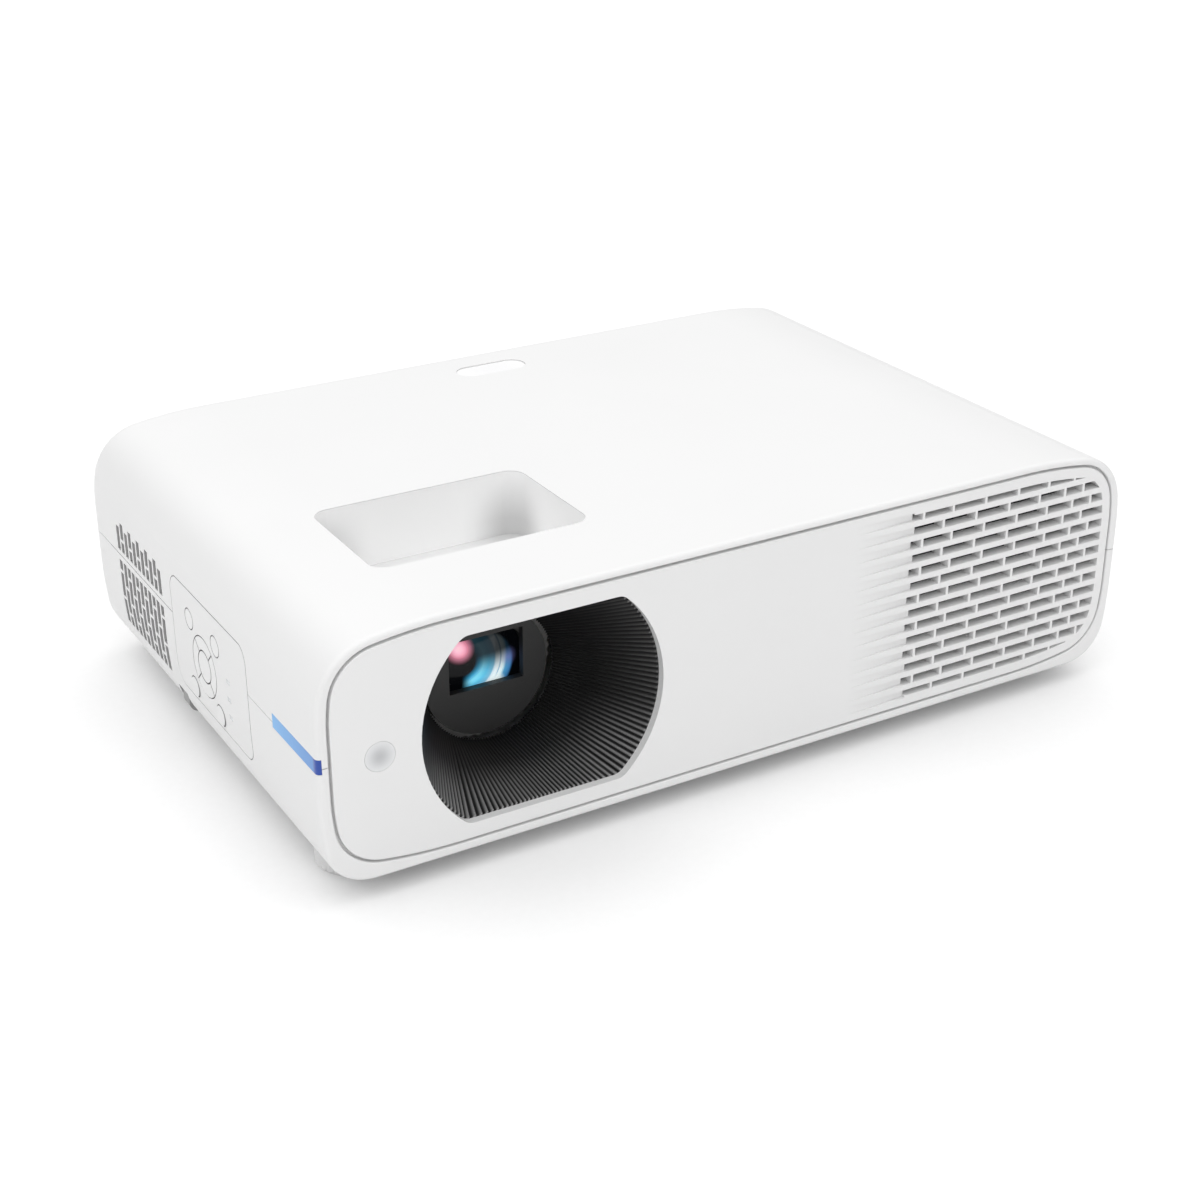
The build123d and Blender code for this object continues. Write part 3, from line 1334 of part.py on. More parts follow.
def exhaust_place(piece):
    """Turn a fan to blow out of the front grille."""
    origin = (EXHAUST_FAN_X, behind(EXHAUST_FAN_BACK), BEZEL_MIDDLE_Z)
    return Plane(origin=origin, x_dir=(1, 0, 0), z_dir=(0, 1, 0)) * piece


def intake_place(piece):
    """Turn a fan to draw in through the left side."""
    origin = (LEFT_X + INTAKE_FAN_FROM_LEFT, behind(INTAKE_MIDDLE), INTAKE_FAN_Z)
    return Plane(origin=origin, x_dir=(0, 1, 0), z_dir=(1, 0, 0)) * piece


# Boards, sockets and power supply


def main_board():
    """Main circuit board on its posts."""
    front = MAIN_BOARD_REAR - MAIN_BOARD_LENGTH
    return block(
        MAIN_BOARD_X, MAIN_BOARD_X + MAIN_BOARD_WIDTH, front, MAIN_BOARD_REAR, BOARD_Z, BOARD_TOP
    )


def socket_outline(inset, width, height):
    """Front of a socket that stands on the main board, in X and Z."""
    return Pos(MAIN_BOARD_X + inset, BOARD_TOP + height / 2) * Rectangle(width, height)


def shell_socket(inset, width, height, length, wall, tongue):
    """A metal socket with an open mouth at the rear and a contact tongue."""
    solid = along_y(socket_outline(inset, width, height), PANEL_REAR - length, PANEL_REAR)
    middle = Pos(MAIN_BOARD_X + inset, BOARD_TOP + height / 2)
    mouth = middle * Rectangle(width - 2 * wall, height - 2 * wall)
    solid -= along_y(mouth, PANEL_REAR - SOCKET_CAVITY, PANEL_REAR + WALL)
    plate = middle * Rectangle(width * TONGUE_SHARE, tongue)
    return solid + along_y(plate, PANEL_REAR - SOCKET_CAVITY - wall, PANEL_REAR - TONGUE_SINK)


def hdmi_insets():
    """Places of the video sockets along the main board."""
    return [HDMI_INSET + index * HDMI_PITCH for index in range(HDMI_COUNT)]


def hdmi_sockets():
    """Video sockets."""
    return Compound(
        children=[
            shell_socket(inset, HDMI_WIDTH, HDMI_HEIGHT, HDMI_LENGTH, HDMI_SHELL, HDMI_TONGUE)
            for inset in hdmi_insets()
        ]
    )


def usb_socket():
    """USB socket."""
    return shell_socket(USB_INSET, USB_WIDTH, USB_HEIGHT, USB_LENGTH, USB_SHELL, USB_TONGUE)


def jack_places():
    """Middle of each audio jack, in X and Z."""
    return [
        (MAIN_BOARD_X + JACK_INSET + index * JACK_PITCH, BOARD_TOP + JACK_SIZE / 2)
        for index in range(JACK_COUNT)
    ]


def audio_jacks():
    """Round audio jacks with square bodies on the main board."""
    jacks = []
    for x, z in jack_places():
        body = Pos(x, z) * Rectangle(JACK_SIZE, JACK_SIZE)
        jack = along_y(body, PANEL_FRONT - JACK_LENGTH, PANEL_FRONT)
        jack += rod_y(x, z, JACK_BARREL_RADIUS, PANEL_FRONT, PANEL_REAR)
        jacks.append(jack - rod_y(x, z, JACK_BORE, PANEL_FRONT - SOCKET_CAVITY, DEPTH))
    return Compound(children=jacks)


def inlet_outline(offset):
    """Mains inlet with two cut corners, in X and Z."""
    width = INLET_WIDTH + 2 * offset
    height = INLET_HEIGHT + 2 * offset
    outline = Rectangle(width, height)
    corners = outline.vertices().group_by(Axis.Y)[-1]
    return inlet_middle() * chamfer(corners, INLET_CHAMFER)


def inlet_middle():
    """Middle of the mains inlet."""
    return Pos(RIGHT_X - INLET_FROM_RIGHT, BOTTOM_Z + INLET_RISE)


def ac_inlet():
    """Three-pin mains inlet with a flange on the rear panel."""
    rear = PANEL_REAR + INLET_FLANGE_THICKNESS
    solid = along_y(inlet_outline(0), PANEL_REAR - INLET_LENGTH, rear)
    flange = Rectangle(INLET_WIDTH + 2 * INLET_FLANGE, INLET_HEIGHT + 2 * INLET_FLANGE)
    solid += along_y(inlet_middle() * flange, PANEL_REAR, rear)
    solid -= along_y(inlet_outline(-INLET_CAVITY_MARGIN), rear - INLET_CAVITY_DEPTH, DEPTH)
    root = rear - INLET_CAVITY_DEPTH
    for side, rise in ((-1, 0), (0, INLET_EARTH_RAISE), (1, 0)):
        pin = Pos(side * INLET_PIN_SPREAD, rise) * Rectangle(INLET_PIN_WIDTH, INLET_PIN_HEIGHT)
        solid += along_y(inlet_middle() * pin, root - INLET_PIN_WIDTH / 2, root + INLET_PIN_LENGTH)
    return solid


def power_board():
    """Power-supply board on its posts."""
    end = POWER_BOARD_BACK + POWER_BOARD_LENGTH
    return block(POWER_BOARD_X, POWER_BOARD_X + POWER_BOARD_WIDTH, POWER_BOARD_BACK, end, BOARD_Z, BOARD_TOP)


def power_middle():
    """X of the middle of the power-supply board."""
    return POWER_BOARD_X + POWER_BOARD_WIDTH / 2


def power_transformer():
    """Ferrite core with its winding showing at both sides."""
    x = power_middle()
    half = TRANSFORMER_WIDTH / 2
    end = TRANSFORMER_BACK + TRANSFORMER_LENGTH
    top = BOARD_TOP + TRANSFORMER_HEIGHT
    core = block(x - half, x + half, TRANSFORMER_BACK, end, BOARD_TOP, top)
    gap = TRANSFORMER_COIL_GAP
    start = TRANSFORMER_BACK + gap
    coil = block(x - half - gap, x + half + gap, start, end - gap, BOARD_TOP + gap, top - gap)
    return core + coil


def power_capacitors():
    """Row of electrolytic capacitors with a crimped neck."""
    cans = []
    neck = BOARD_TOP + CAPACITOR_NECK
    inner = CAPACITOR_RADIUS - CAPACITOR_NECK
    for index in range(CAPACITOR_COUNT):
        x = power_middle() + (index - (CAPACITOR_COUNT - 1) / 2) * CAPACITOR_PITCH
        can = pillar(x, CAPACITOR_BACK, CAPACITOR_RADIUS, BOARD_TOP, BOARD_TOP + CAPACITOR_HEIGHT)
        groove = pillar(x, CAPACITOR_BACK, CAPACITOR_RADIUS, neck, neck + CAPACITOR_NECK)
        groove -= pillar(x, CAPACITOR_BACK, inner, BOARD_TOP, BOARD_TOP + CAPACITOR_HEIGHT)
        cans.append(can - groove)
    return Compound(children=cans)


def speaker_middle():
    """Middle of the speaker, in X and Z."""
    return Pos(LEFT_X + SPEAKER_FROM_LEFT, BOTTOM_Z + SPEAKER_RISE)


def speaker():
    """Oval speaker: flange on the rear panel, tapered basket and magnet."""
    flange_front = PANEL_FRONT - SPEAKER_FLANGE
    basket_front = flange_front - SPEAKER_BASKET
    flange = speaker_middle() * Ellipse(SPEAKER_WIDTH / 2, SPEAKER_HEIGHT / 2)
    solid = along_y(flange, flange_front, PANEL_FRONT)
    wide = Circle(SPEAKER_HEIGHT / 2 - SPEAKER_FLANGE)
    narrow = Circle(SPEAKER_MAGNET_RADIUS)
    plane = Plane(origin=(0, behind(flange_front), 0), x_dir=(1, 0, 0), z_dir=(0, -1, 0))
    solid += loft([plane * speaker_middle() * wide, plane.offset(SPEAKER_BASKET) * speaker_middle() * narrow])
    magnet = speaker_middle() * Circle(SPEAKER_MAGNET_RADIUS)
    return solid + along_y(magnet, basket_front - SPEAKER_MAGNET, basket_front)


def speaker_slots():
    """Upright slots in the rear panel in front of the speaker."""
    slots = []
    for index in range(SPEAKER_SLOTS):
        x = (index - (SPEAKER_SLOTS - 1) / 2) * SPEAKER_SLOT_PITCH
        reach = 1 - (2 * x / SPEAKER_WIDTH) ** 2
        length = SPEAKER_HEIGHT * reach**0.5 - 2 * SPEAKER_SLOT_MARGIN
        slots.append(speaker_middle() * Pos(x, 0) * SlotOverall(length, SPEAKER_SLOT, rotation=90))
    return Sketch() + slots


def rear_panel():
    """Rear panel with holes for every socket and slots for the speaker."""
    solid = along_y(shell_outline(-REAR_RIM - REAR_PANEL_GAP), PANEL_FRONT, PANEL_REAR)
    fit = 2 * SOCKET_FIT
    holes = [inlet_outline(SOCKET_FIT), speaker_slots()]
    for inset in hdmi_insets():
        middle = Pos(MAIN_BOARD_X + inset, BOARD_TOP + HDMI_HEIGHT / 2)
        holes.append(middle * Rectangle(HDMI_WIDTH + fit, HDMI_HEIGHT + fit))
    middle = Pos(MAIN_BOARD_X + USB_INSET, BOARD_TOP + USB_HEIGHT / 2)
    holes.append(middle * Rectangle(USB_WIDTH + fit, USB_HEIGHT + fit))
    for x, z in jack_places():
        holes.append(Pos(x, z) * Circle(JACK_BARREL_RADIUS + SOCKET_FIT))
    for hole in holes:
        solid -= along_y(hole, PANEL_FRONT - WALL, DEPTH)
    return solid


# Feet and inserts


def foot_stud(x, back):
    """Threaded stud of a screw foot."""
    start = FOOT_STUD_SEAT + FOOT_STUD_END_GAP
    return pillar(x, back, FOOT_STUD_RADIUS, start, BOTTOM_Z + FOOT_STUD_LENGTH)


def foot_knob(x, back):
    """Fluted knob with a plain tread at the table."""
    place = Pos(x, behind(back))
    top = BOTTOM_Z - FOOT_KNOB_GAP
    tread = place * Circle(FOOT_KNOB_RADIUS - FOOT_TREAD)
    solid = along_z(tread, 0, FOOT_TREAD)
    solid += along_z(place * fluted(FOOT_KNOB_RADIUS, FOOT_FLUTE_DEPTH, FOOT_FLUTES), FOOT_TREAD, top)
    return solid - pillar(x, back, FOOT_STUD_RADIUS + FOOT_STUD_FIT, FOOT_STUD_SEAT, TOP_Z)


def foot_inserts():
    """Threaded brass inserts that carry the studs."""
    bore = FOOT_STUD_RADIUS + FOOT_STUD_FIT
    end = BOTTOM_Z + FOOT_INSERT_LENGTH
    return Compound(
        children=[
            pillar(x, back, FOOT_INSERT_RADIUS, BOTTOM_Z, end) - pillar(x, back, bore, 0, TOP_Z)
            for x, back in FEET.values()
        ]
    )


def mount_inserts():
    """Threaded brass inserts for a ceiling bracket."""
    end = BOTTOM_Z + MOUNT_INSERT_LENGTH
    return Compound(
        children=[
            pillar(x, back, MOUNT_INSERT_RADIUS, BOTTOM_Z, end)
            - pillar(x, back, MOUNT_HOLE_RADIUS, 0, TOP_Z)
            for x, back in MOUNTS
        ]
    )


# All pieces by name


def pieces():
    """Every separate piece of the projector."""
    named = {
        "upper_cover": upper_cover(),
        "lower_case": lower_case(),
        "front_bezel": front_bezel(),
        "exhaust_grille": exhaust_grille(),
        "lens_funnel": lens_funnel(),
        "front_ir_window": front_ir_window(),
        "top_ir_window": top_ir_window(),
        "accent_strip": accent_strip(),
        "rear_panel": rear_panel(),
        "keypad_panel": keypad_panel(),
        "keypad_board": keypad_board(),
        "indicator_lights": Compound(children=light_zones(0)),
        "security_bar": security_bar(),
        "lens_barrel": lens_barrel(),
        "focus_ring": grip_ring(focus_ring_back(), FOCUS_RING_WIDTH),
        "zoom_ring": zoom_ring(),
        "front_lens_cell": front_lens_cell(),
        "front_lens_glass": front_lens_glass(),
        "zoom_lens_cell": zoom_lens_cell(),
        "zoom_lens_glass": zoom_lens_glass(),
        "engine_housing": engine_housing(),
        "light_prism": light_prism(),
        "dmd_board": dmd_board(),
        "dmd_heatsink": dmd_heatsink(),
        "led_modules": led_modules(),
        "heat_pipes": heat_pipes(),
        "led_heatsink": led_heatsink(),
        "exhaust_fan_frame": exhaust_place(fan_frame(EXHAUST_FAN_SIZE, EXHAUST_FAN_DEPTH, EXHAUST_FAN_HUB)),
        "exhaust_fan_rotor": exhaust_place(fan_rotor(EXHAUST_FAN_SIZE, EXHAUST_FAN_DEPTH, EXHAUST_FAN_HUB)),
        "intake_fan_frame": intake_place(fan_frame(INTAKE_FAN_SIZE, INTAKE_FAN_DEPTH, INTAKE_FAN_HUB)),
        "intake_fan_rotor": intake_place(fan_rotor(INTAKE_FAN_SIZE, INTAKE_FAN_DEPTH, INTAKE_FAN_HUB)),
        "main_board": main_board(),
        "hdmi_sockets": hdmi_sockets(),
        "usb_socket": usb_socket(),
        "audio_jacks": audio_jacks(),
        "ac_inlet": ac_inlet(),
        "power_board": power_board(),
        "power_transformer": power_transformer(),
        "power_capacitors": power_capacitors(),
        "speaker": speaker(),
        "mount_inserts": mount_inserts(),
        "foot_inserts": foot_inserts(),
        "case_screws": case_screws(),
    }
    for name, (y, z) in key_places().items():
        named[name] = key(Pos(y, z) * Circle(KEY_RADIUS), y, z)
    middle = (behind(KEY_CENTRE_BACK), KEY_Z)
    named["ok_button"] = key(Pos(*middle) * Circle(OK_RADIUS), *middle)
    for name, (y, z, turn) in arrow_places().items():
        named[name] = arrow_key(turn, y, z)
    for corner, (x, back) in FEET.items():
        named["foot_stud_" + corner] = foot_stud(x, back)
        named["foot_knob_" + corner] = foot_knob(x, back)
    return named


os.makedirs("parts", exist_ok=True)
for name, solid in pieces().items():
    export_step(solid, "parts/" + name + ".step")
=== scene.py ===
from math import radians

import bpy
from bpy.props import FloatProperty, FloatVectorProperty, PointerProperty
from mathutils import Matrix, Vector


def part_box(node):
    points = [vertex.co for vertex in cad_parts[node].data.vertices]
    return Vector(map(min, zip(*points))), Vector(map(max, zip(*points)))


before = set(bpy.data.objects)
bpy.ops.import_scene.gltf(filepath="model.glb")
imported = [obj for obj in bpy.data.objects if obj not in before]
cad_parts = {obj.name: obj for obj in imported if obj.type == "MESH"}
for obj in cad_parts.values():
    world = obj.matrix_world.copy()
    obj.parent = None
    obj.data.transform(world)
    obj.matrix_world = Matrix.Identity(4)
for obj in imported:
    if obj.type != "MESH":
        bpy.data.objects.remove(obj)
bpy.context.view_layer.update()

bl_info = {
    "name": "Home projector dressing",
    "version": (1, 0, 0),
    "blender": (4, 5, 0),
    "location": "3D View > Sidebar > Projector",
    "description": "Gives the projector's pieces their plastics, metals and glass, and sets up the studio",
    "category": "Object",
}

MM_PER_M = 1000.0
CORNERS = ("front_left", "front_right", "rear_left", "rear_right")
# Edges that turn by more than this stay crisp
CRISP_EDGE = radians(28.0)

# Refractive indices
ABS_IOR = 1.54
POLYCARBONATE_IOR = 1.58
OPTICAL_GLASS_IOR = 1.62
PMMA_IOR = 1.49
LAMINATE_IOR = 1.55

# Widths of what shows in the materials, in millimetres, and the share of a board's cell that is a trace
TONE_DRIFT_MM = 70.0
GLASS_HAZE_MM = 6.0
BOARD_CELL_MM = 5.0
BOARD_TRACE = 0.08
PAPER_FIBRE_MM = 3.0

# The funnel's ribs: tones from the mouth inwards, which darken inwards as painted shade and pale on the
# crests as a painted highlight, and the wave's heights at a groove and on a crest
FUNNEL_RIBS = 140
GROOVE_WAVE = 0.5
CREST_WAVE = -1.0
RIB_GROOVE = "#0C0C0C"
# The upper ribs' tones, darker inwards as painted shade, and the lower ribs' paler tones, which carry painted
# light
UPPER_RIBS_PAINTED_SHADE = ((0.0, "#565656"), (0.3, "#383838"), (0.6, "#1A1A1A"), (1.0, "#101010"))
LOWER_RIBS_PAINTED_LIGHT = ((0.0, "#949494"), (0.3, "#8C8C8C"), (0.6, "#4C4C4C"), (1.0, "#181818"))
# Heights over the funnel's axis where the painted light on the lower ribs starts and is full, in metres
PAINTED_LIGHT_STARTS = -0.008
PAINTED_LIGHT_FULL = -0.030

# Emission strength that makes the painted reflections on the lens glow, though the glass is no lamp
PAINTED_REFLECTION_EMISSION = 0.6
COAT_DARK = "#050608"
# Places on the glass are across and up from its middle, in millimetres.
# The coats' arcs, painted reflections of the softboxes, lie round one point and reach this far from it.
ARC_MIDDLE_MM = (-8.5, 4.2)
ARC_REACH_MM = 25.0
# Tones of the painted reflection arcs, from their middle outwards
PAINTED_REFLECTION_ARCS = (
    (0.22, COAT_DARK),
    (0.29, "#3A9FC8"),
    (0.37, "#84E0FC"),
    (0.46, "#62C2E6"),
    (0.55, "#7CB8D4"),
    (0.585, "#DCEEF5"),
    (0.645, "#E6F3F8"),
    (0.672, "#8FB3C8"),
    (0.69, "#E8F8FA"),
    (0.74, "#CFEAF0"),
    (0.79, "#4F9CC6"),
    (0.88, "#3C7CB4"),
    (0.95, "#0A1016"),
)
# Where the arcs are gone and where they are full, at the rim, the top and one side
RIM_FADE_MM = (14.4, 12.8)
TOP_FADE_MM = (6.0, -4.0)
SIDE_FADE_MM = (-8.5, -4.0)
# What is left of them at the top
TOP_REST = 0.04
# Round glows, painted reflections of the lights: their places, the distances where each is gone and full, and
# their tones
PAINTED_REFLECTION_SPOTS = (
    ((5.8, -8.0), (5.0, 1.5), "#F2FFFF"),
    ((11.5, 1.0), (5.0, -4.0), "#7B7CBC"),
    ((-8.6, 9.2), (6.4, 1.0), "#FF9DB9"),
    ((-9.0, 9.4), (4.0, 0.0), "#FFCBDA"),
)

# The accent strip's tones from the front lip backwards
ACCENT_TONES = ((0.0, "#123F9A"), (0.06, "#184AA8"), (0.09, "#3D84CE"), (1.0, "#61AAE6"))

# The well's middle behind the lens cell, and half its size across, along and down, in metres
WELL_BEHIND_LENS = 0.0135
WELL_REACH = Vector((0.0445, 0.0300, 0.0315))
# Painted light: the well's walls are painted pure white, brighter than the shell. Painted shade: its floor is
# painted darker
WELL_PAINTED_LIGHT = "#FFFFFF"
WELL_FLOOR_PAINTED_SHADE = "#E0E0E0"
# How far below the top the well's walls, painted brighter as painted light, and its floor, painted darker as
# painted shade, begin, in metres
WELL_RIM = 0.00035
WELL_FLOOR = 0.0269
# Where the well's rear corners stand from its middle, and how far down their painted shade is full, in metres
WELL_CORNER = Vector((0.0440, 0.0295))
CORNER_SHADE_DOWN = 0.02
# Distances from a corner where its painted shade is gone and full
CORNER_SHADE_MM = (26.0, 3.0)
# Tone of the painted shade in the well's rear corners
CORNER_PAINTED_SHADE = "#D3D3D3"

# How far the intake slots reach past the fan behind them, and how far in their walls go, in metres
INTAKE_MARGIN = 0.007
INTAKE_WALL = 0.009
# Tone of the painted shade on the intake slots' walls
INTAKE_PAINTED_SHADE = "#B6B6B6"
# A wall stands across an axis where its normal's share along that axis is below this
WALL_LEAN = 0.6
# Painted shade on the walls of the narrow gaps round the keys and the keypad panel
GAP_SHADE = "#A8A8A8"

# Studio, in metres apart from the camera's sensor
FLOOR_REACH = 6.0
SENSOR_WIDTH_MM = 36.0
LIGHTS_AIM = Vector((0.0, 0.0, 0.05))
KEY_PLACE = (-1.1, -0.7, 1.3)
KEY_SIZE = (1.2, 1.2)
FILL_PLACE = (-0.44, -1.6, 0.45)
FILL_SIZE = (0.8, 0.6)


# Colour and node helpers


def linear(code):
    """sRGB hex to linear RGB."""
    channels = [int(code[place : place + 2], 16) / 255 for place in (1, 3, 5)]
    return tuple(c / 12.92 if c <= 0.04045 else ((c + 0.055) / 1.055) ** 2.4 for c in channels)


def opaque(code):
    """sRGB hex to linear RGBA."""
    return (*linear(code), 1.0)


def per_metre(size_mm):
    """Texture scale whose features are about this many millimetres wide."""
    return MM_PER_M / size_mm


def add(tree, kind, inputs=(), stops=(), **settings):
    """Add a node with its settings, set or link its inputs, and give a ramp its stops."""
    node = tree.nodes.new(kind)
    for name, value in settings.items():
        setattr(node, name, value)
    for socket, value in dict(inputs).items():
        if isinstance(value, bpy.types.NodeSocket):
            tree.links.new(value, node.inputs[socket])
        else:
            node.inputs[socket].default_value = value
    if stops:
        elements = node.color_ramp.elements
        for element, (position, code) in zip(elements, (stops[0], stops[-1])):
            element.position = position
            element.color = opaque(code)
        for position, code in stops[1:-1]:
            elements.new(position).color = opaque(code)
    return node


def start(name, **constants):
    """A material with its shader's constants set; returns it with its tree, shader and object coordinates."""
    material = bpy.data.materials.new(name)
    material.use_nodes = True
    tree = material.node_tree
    shader = tree.nodes["Principled BSDF"]
    for socket, value in constants.items():
        shader.inputs[socket.replace("_", " ")].default_value = value
    place = add(tree, "ShaderNodeTexCoord").outputs["Object"]
    return material, tree, shader, place


def spot(tree, place, middle, fade_mm, spread, blend="SMOOTHSTEP"):
    """Mask round a point, gone at one distance and full at another; spread can leave out axes."""
    away = add(tree, "ShaderNodeVectorMath", {0: place, 1: middle}, operation="SUBTRACT")
    scaled = add(tree, "ShaderNodeVectorMath", {0: away.outputs[0], 1: spread}, operation="MULTIPLY")
    length = add(tree, "ShaderNodeVectorMath", {0: scaled.outputs[0]}, operation="LENGTH")
    gone, full = (distance / MM_PER_M for distance in fade_mm)
    limits = {"Value": length.outputs["Value"], "From Min": gone, "From Max": full}
    return add(tree, "ShaderNodeMapRange", limits, interpolation_type=blend).outputs["Result"]


# Materials


def fine_grained(name, light, shade, grain_mm, dull, bright):
    """ABS moulded in a spark-eroded tool, or powder coat: an even soft sheen over a very fine grain."""
    material, tree, shader, place = start(name, IOR=ABS_IOR)
    # Tone drifts a little over centimetres, as the pigment does in a large moulding.
    drifting = {"Vector": place, "Scale": per_metre(TONE_DRIFT_MM), "Detail": 2.0}
    drift = add(tree, "ShaderNodeTexNoise", drifting)
    tones = {"Factor": drift.outputs["Fac"], "A": (*light, 1.0), "B": (*shade, 1.0)}
    tone = add(tree, "ShaderNodeMix", tones, data_type="RGBA")
    tree.links.new(tone.outputs["Result"], shader.inputs["Base Color"])
    # The tool's grain is about 0.1 mm; it is drawn coarser so that it shows.
    grain = add(tree, "ShaderNodeTexNoise", {"Vector": place, "Scale": per_metre(grain_mm), "Detail": 3.0})
    height = grain.outputs["Fac"]
    gloss = add(tree, "ShaderNodeMapRange", {"Value": height, "To Min": bright, "To Max": dull})
    tree.links.new(gloss.outputs["Result"], shader.inputs["Roughness"])
    bump = add(tree, "ShaderNodeBump", {"Height": height, "Strength": 0.25, "Distance": 0.00003})
    tree.links.new(bump.outputs["Normal"], shader.inputs["Normal"])
    return material


def tint(material, code, low=None, high=None, across=None):
    """Retone what lies between two corners, or only the walls that stand across an axis."""
    tree = material.node_tree
    shader = tree.nodes["Principled BSDF"]
    plain = shader.inputs["Base Color"].links[0].from_socket
    masks = []
    if low is not None:
        place = add(tree, "ShaderNodeTexCoord").outputs["Object"]
        middle = (low + high) / 2
        half = (high - low) / 2
        away = add(tree, "ShaderNodeVectorMath", {0: place, 1: middle}, operation="SUBTRACT")
        size = add(tree, "ShaderNodeVectorMath", {0: away.outputs[0]}, operation="ABSOLUTE")
        over = add(tree, "ShaderNodeVectorMath", {0: size.outputs[0], 1: half}, operation="SUBTRACT")
        reach = add(tree, "ShaderNodeSeparateXYZ", {"Vector": over.outputs[0]})
        for axis in "XYZ":
            within = add(tree, "ShaderNodeMath", {0: reach.outputs[axis], 1: 0.0}, operation="LESS_THAN")
            masks.append(within.outputs[0])
    if across is not None:
        normal = add(tree, "ShaderNodeNewGeometry").outputs["Normal"]
        lean = add(tree, "ShaderNodeSeparateXYZ", {"Vector": normal}).outputs[across]
        share = add(tree, "ShaderNodeMath", {0: lean}, operation="ABSOLUTE").outputs[0]
        wall = add(tree, "ShaderNodeMath", {0: share, 1: WALL_LEAN}, operation="LESS_THAN")
        masks.append(wall.outputs[0])
    factor = masks[0]
    for mask in masks[1:]:
        factor = add(tree, "ShaderNodeMath", {0: factor, 1: mask}, operation="MULTIPLY").outputs[0]
    tones = {"Factor": factor, "A": plain, "B": opaque(code)}
    tone = add(tree, "ShaderNodeMix", tones, data_type="RGBA")
    tree.links.new(tone.outputs["Result"], shader.inputs["Base Color"])


def matt_dark(name, code, shade, grain_mm, dull, bright):
    """Dark plastic moulded with a matt tool face, or varnish: nearly black, with a broad sheen on edges."""
    material, tree, shader, place = start(name, IOR=POLYCARBONATE_IOR)
    grain = add(tree, "ShaderNodeTexNoise", {"Vector": place, "Scale": per_metre(grain_mm), "Detail": 4.0})
    height = grain.outputs["Fac"]
    tones = {"Factor": height, "A": opaque(code), "B": opaque(shade)}
    tone = add(tree, "ShaderNodeMix", tones, data_type="RGBA")
    tree.links.new(tone.outputs["Result"], shader.inputs["Base Color"])
    gloss = add(tree, "ShaderNodeMapRange", {"Value": height, "To Min": bright, "To Max": dull})
    tree.links.new(gloss.outputs["Result"], shader.inputs["Roughness"])
    bump = add(tree, "ShaderNodeBump", {"Height": height, "Strength": 0.3, "Distance": 0.00004})
    tree.links.new(bump.outputs["Normal"], shader.inputs["Normal"])
    return material


def ribbed_polycarbonate():
    """Black polycarbonate moulded in fine ribs over black grooves: crests paled as a painted highlight, most
    on the lower ribs at the mouth as painted light, and darker inwards as painted shade.
    """
    material, tree, shader, place = start("polycarbonate_funnel_ribbed", IOR=POLYCARBONATE_IOR)
    low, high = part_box("lens_funnel")
    mouth = (low + high) / 2
    throat = sum(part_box("front_lens_cell"), Vector()) / 2
    split = add(tree, "ShaderNodeSeparateXYZ", {"Vector": place})
    inward = {"Value": split.outputs["Y"], "From Min": low.y, "From Max": high.y}
    depth = add(tree, "ShaderNodeMapRange", inward).outputs["Result"]
    axis = add(tree, "ShaderNodeMapRange", {**inward, "To Min": mouth.z, "To Max": throat.z})
    # The ribs' wave runs with the angle round the axis.
    up = {0: split.outputs["Z"], 1: axis.outputs["Result"]}
    rise = add(tree, "ShaderNodeMath", up, operation="SUBTRACT").outputs[0]
    across = add(tree, "ShaderNodeMath", {0: split.outputs["X"], 1: mouth.x}, operation="SUBTRACT")
    angle = add(tree, "ShaderNodeMath", {0: rise, 1: across.outputs[0]}, operation="ARCTAN2")
    turns = add(tree, "ShaderNodeMath", {0: angle.outputs[0], 1: FUNNEL_RIBS}, operation="MULTIPLY")
    wave = add(tree, "ShaderNodeMath", {0: turns.outputs[0]}, operation="COSINE")
    heights = {"Value": wave.outputs[0], "From Min": GROOVE_WAVE, "From Max": CREST_WAVE}
    crest = add(tree, "ShaderNodeMapRange", heights).outputs["Result"]
    # Painted light pales the lower ribs, which face up, most of all near the mouth; painted shade darkens all
    # ribs inwards.
    upper_shaded = add(tree, "ShaderNodeValToRGB", {"Fac": depth}, UPPER_RIBS_PAINTED_SHADE)
    lower_lit = add(tree, "ShaderNodeValToRGB", {"Fac": depth}, LOWER_RIBS_PAINTED_LIGHT)
    below = {"Value": rise, "From Min": PAINTED_LIGHT_STARTS, "From Max": PAINTED_LIGHT_FULL}
    painted_mask = add(tree, "ShaderNodeMapRange", below, interpolation_type="SMOOTHSTEP")
    ridges = {"Factor": painted_mask.outputs["Result"], "A": upper_shaded.outputs["Color"], "B": lower_lit.outputs["Color"]}
    ridge = add(tree, "ShaderNodeMix", ridges, data_type="RGBA")
    # The crests take the pale tones as a painted highlight, the grooves stay black
    tones = {"Factor": crest, "A": opaque(RIB_GROOVE), "B": ridge.outputs["Result"]}
    tone = add(tree, "ShaderNodeMix", tones, data_type="RGBA")
    tree.links.new(tone.outputs["Result"], shader.inputs["Base Color"])
    gloss = add(tree, "ShaderNodeMapRange", {"Value": crest, "To Min": 0.6, "To Max": 0.42})
    tree.links.new(gloss.outputs["Result"], shader.inputs["Roughness"])
    return material


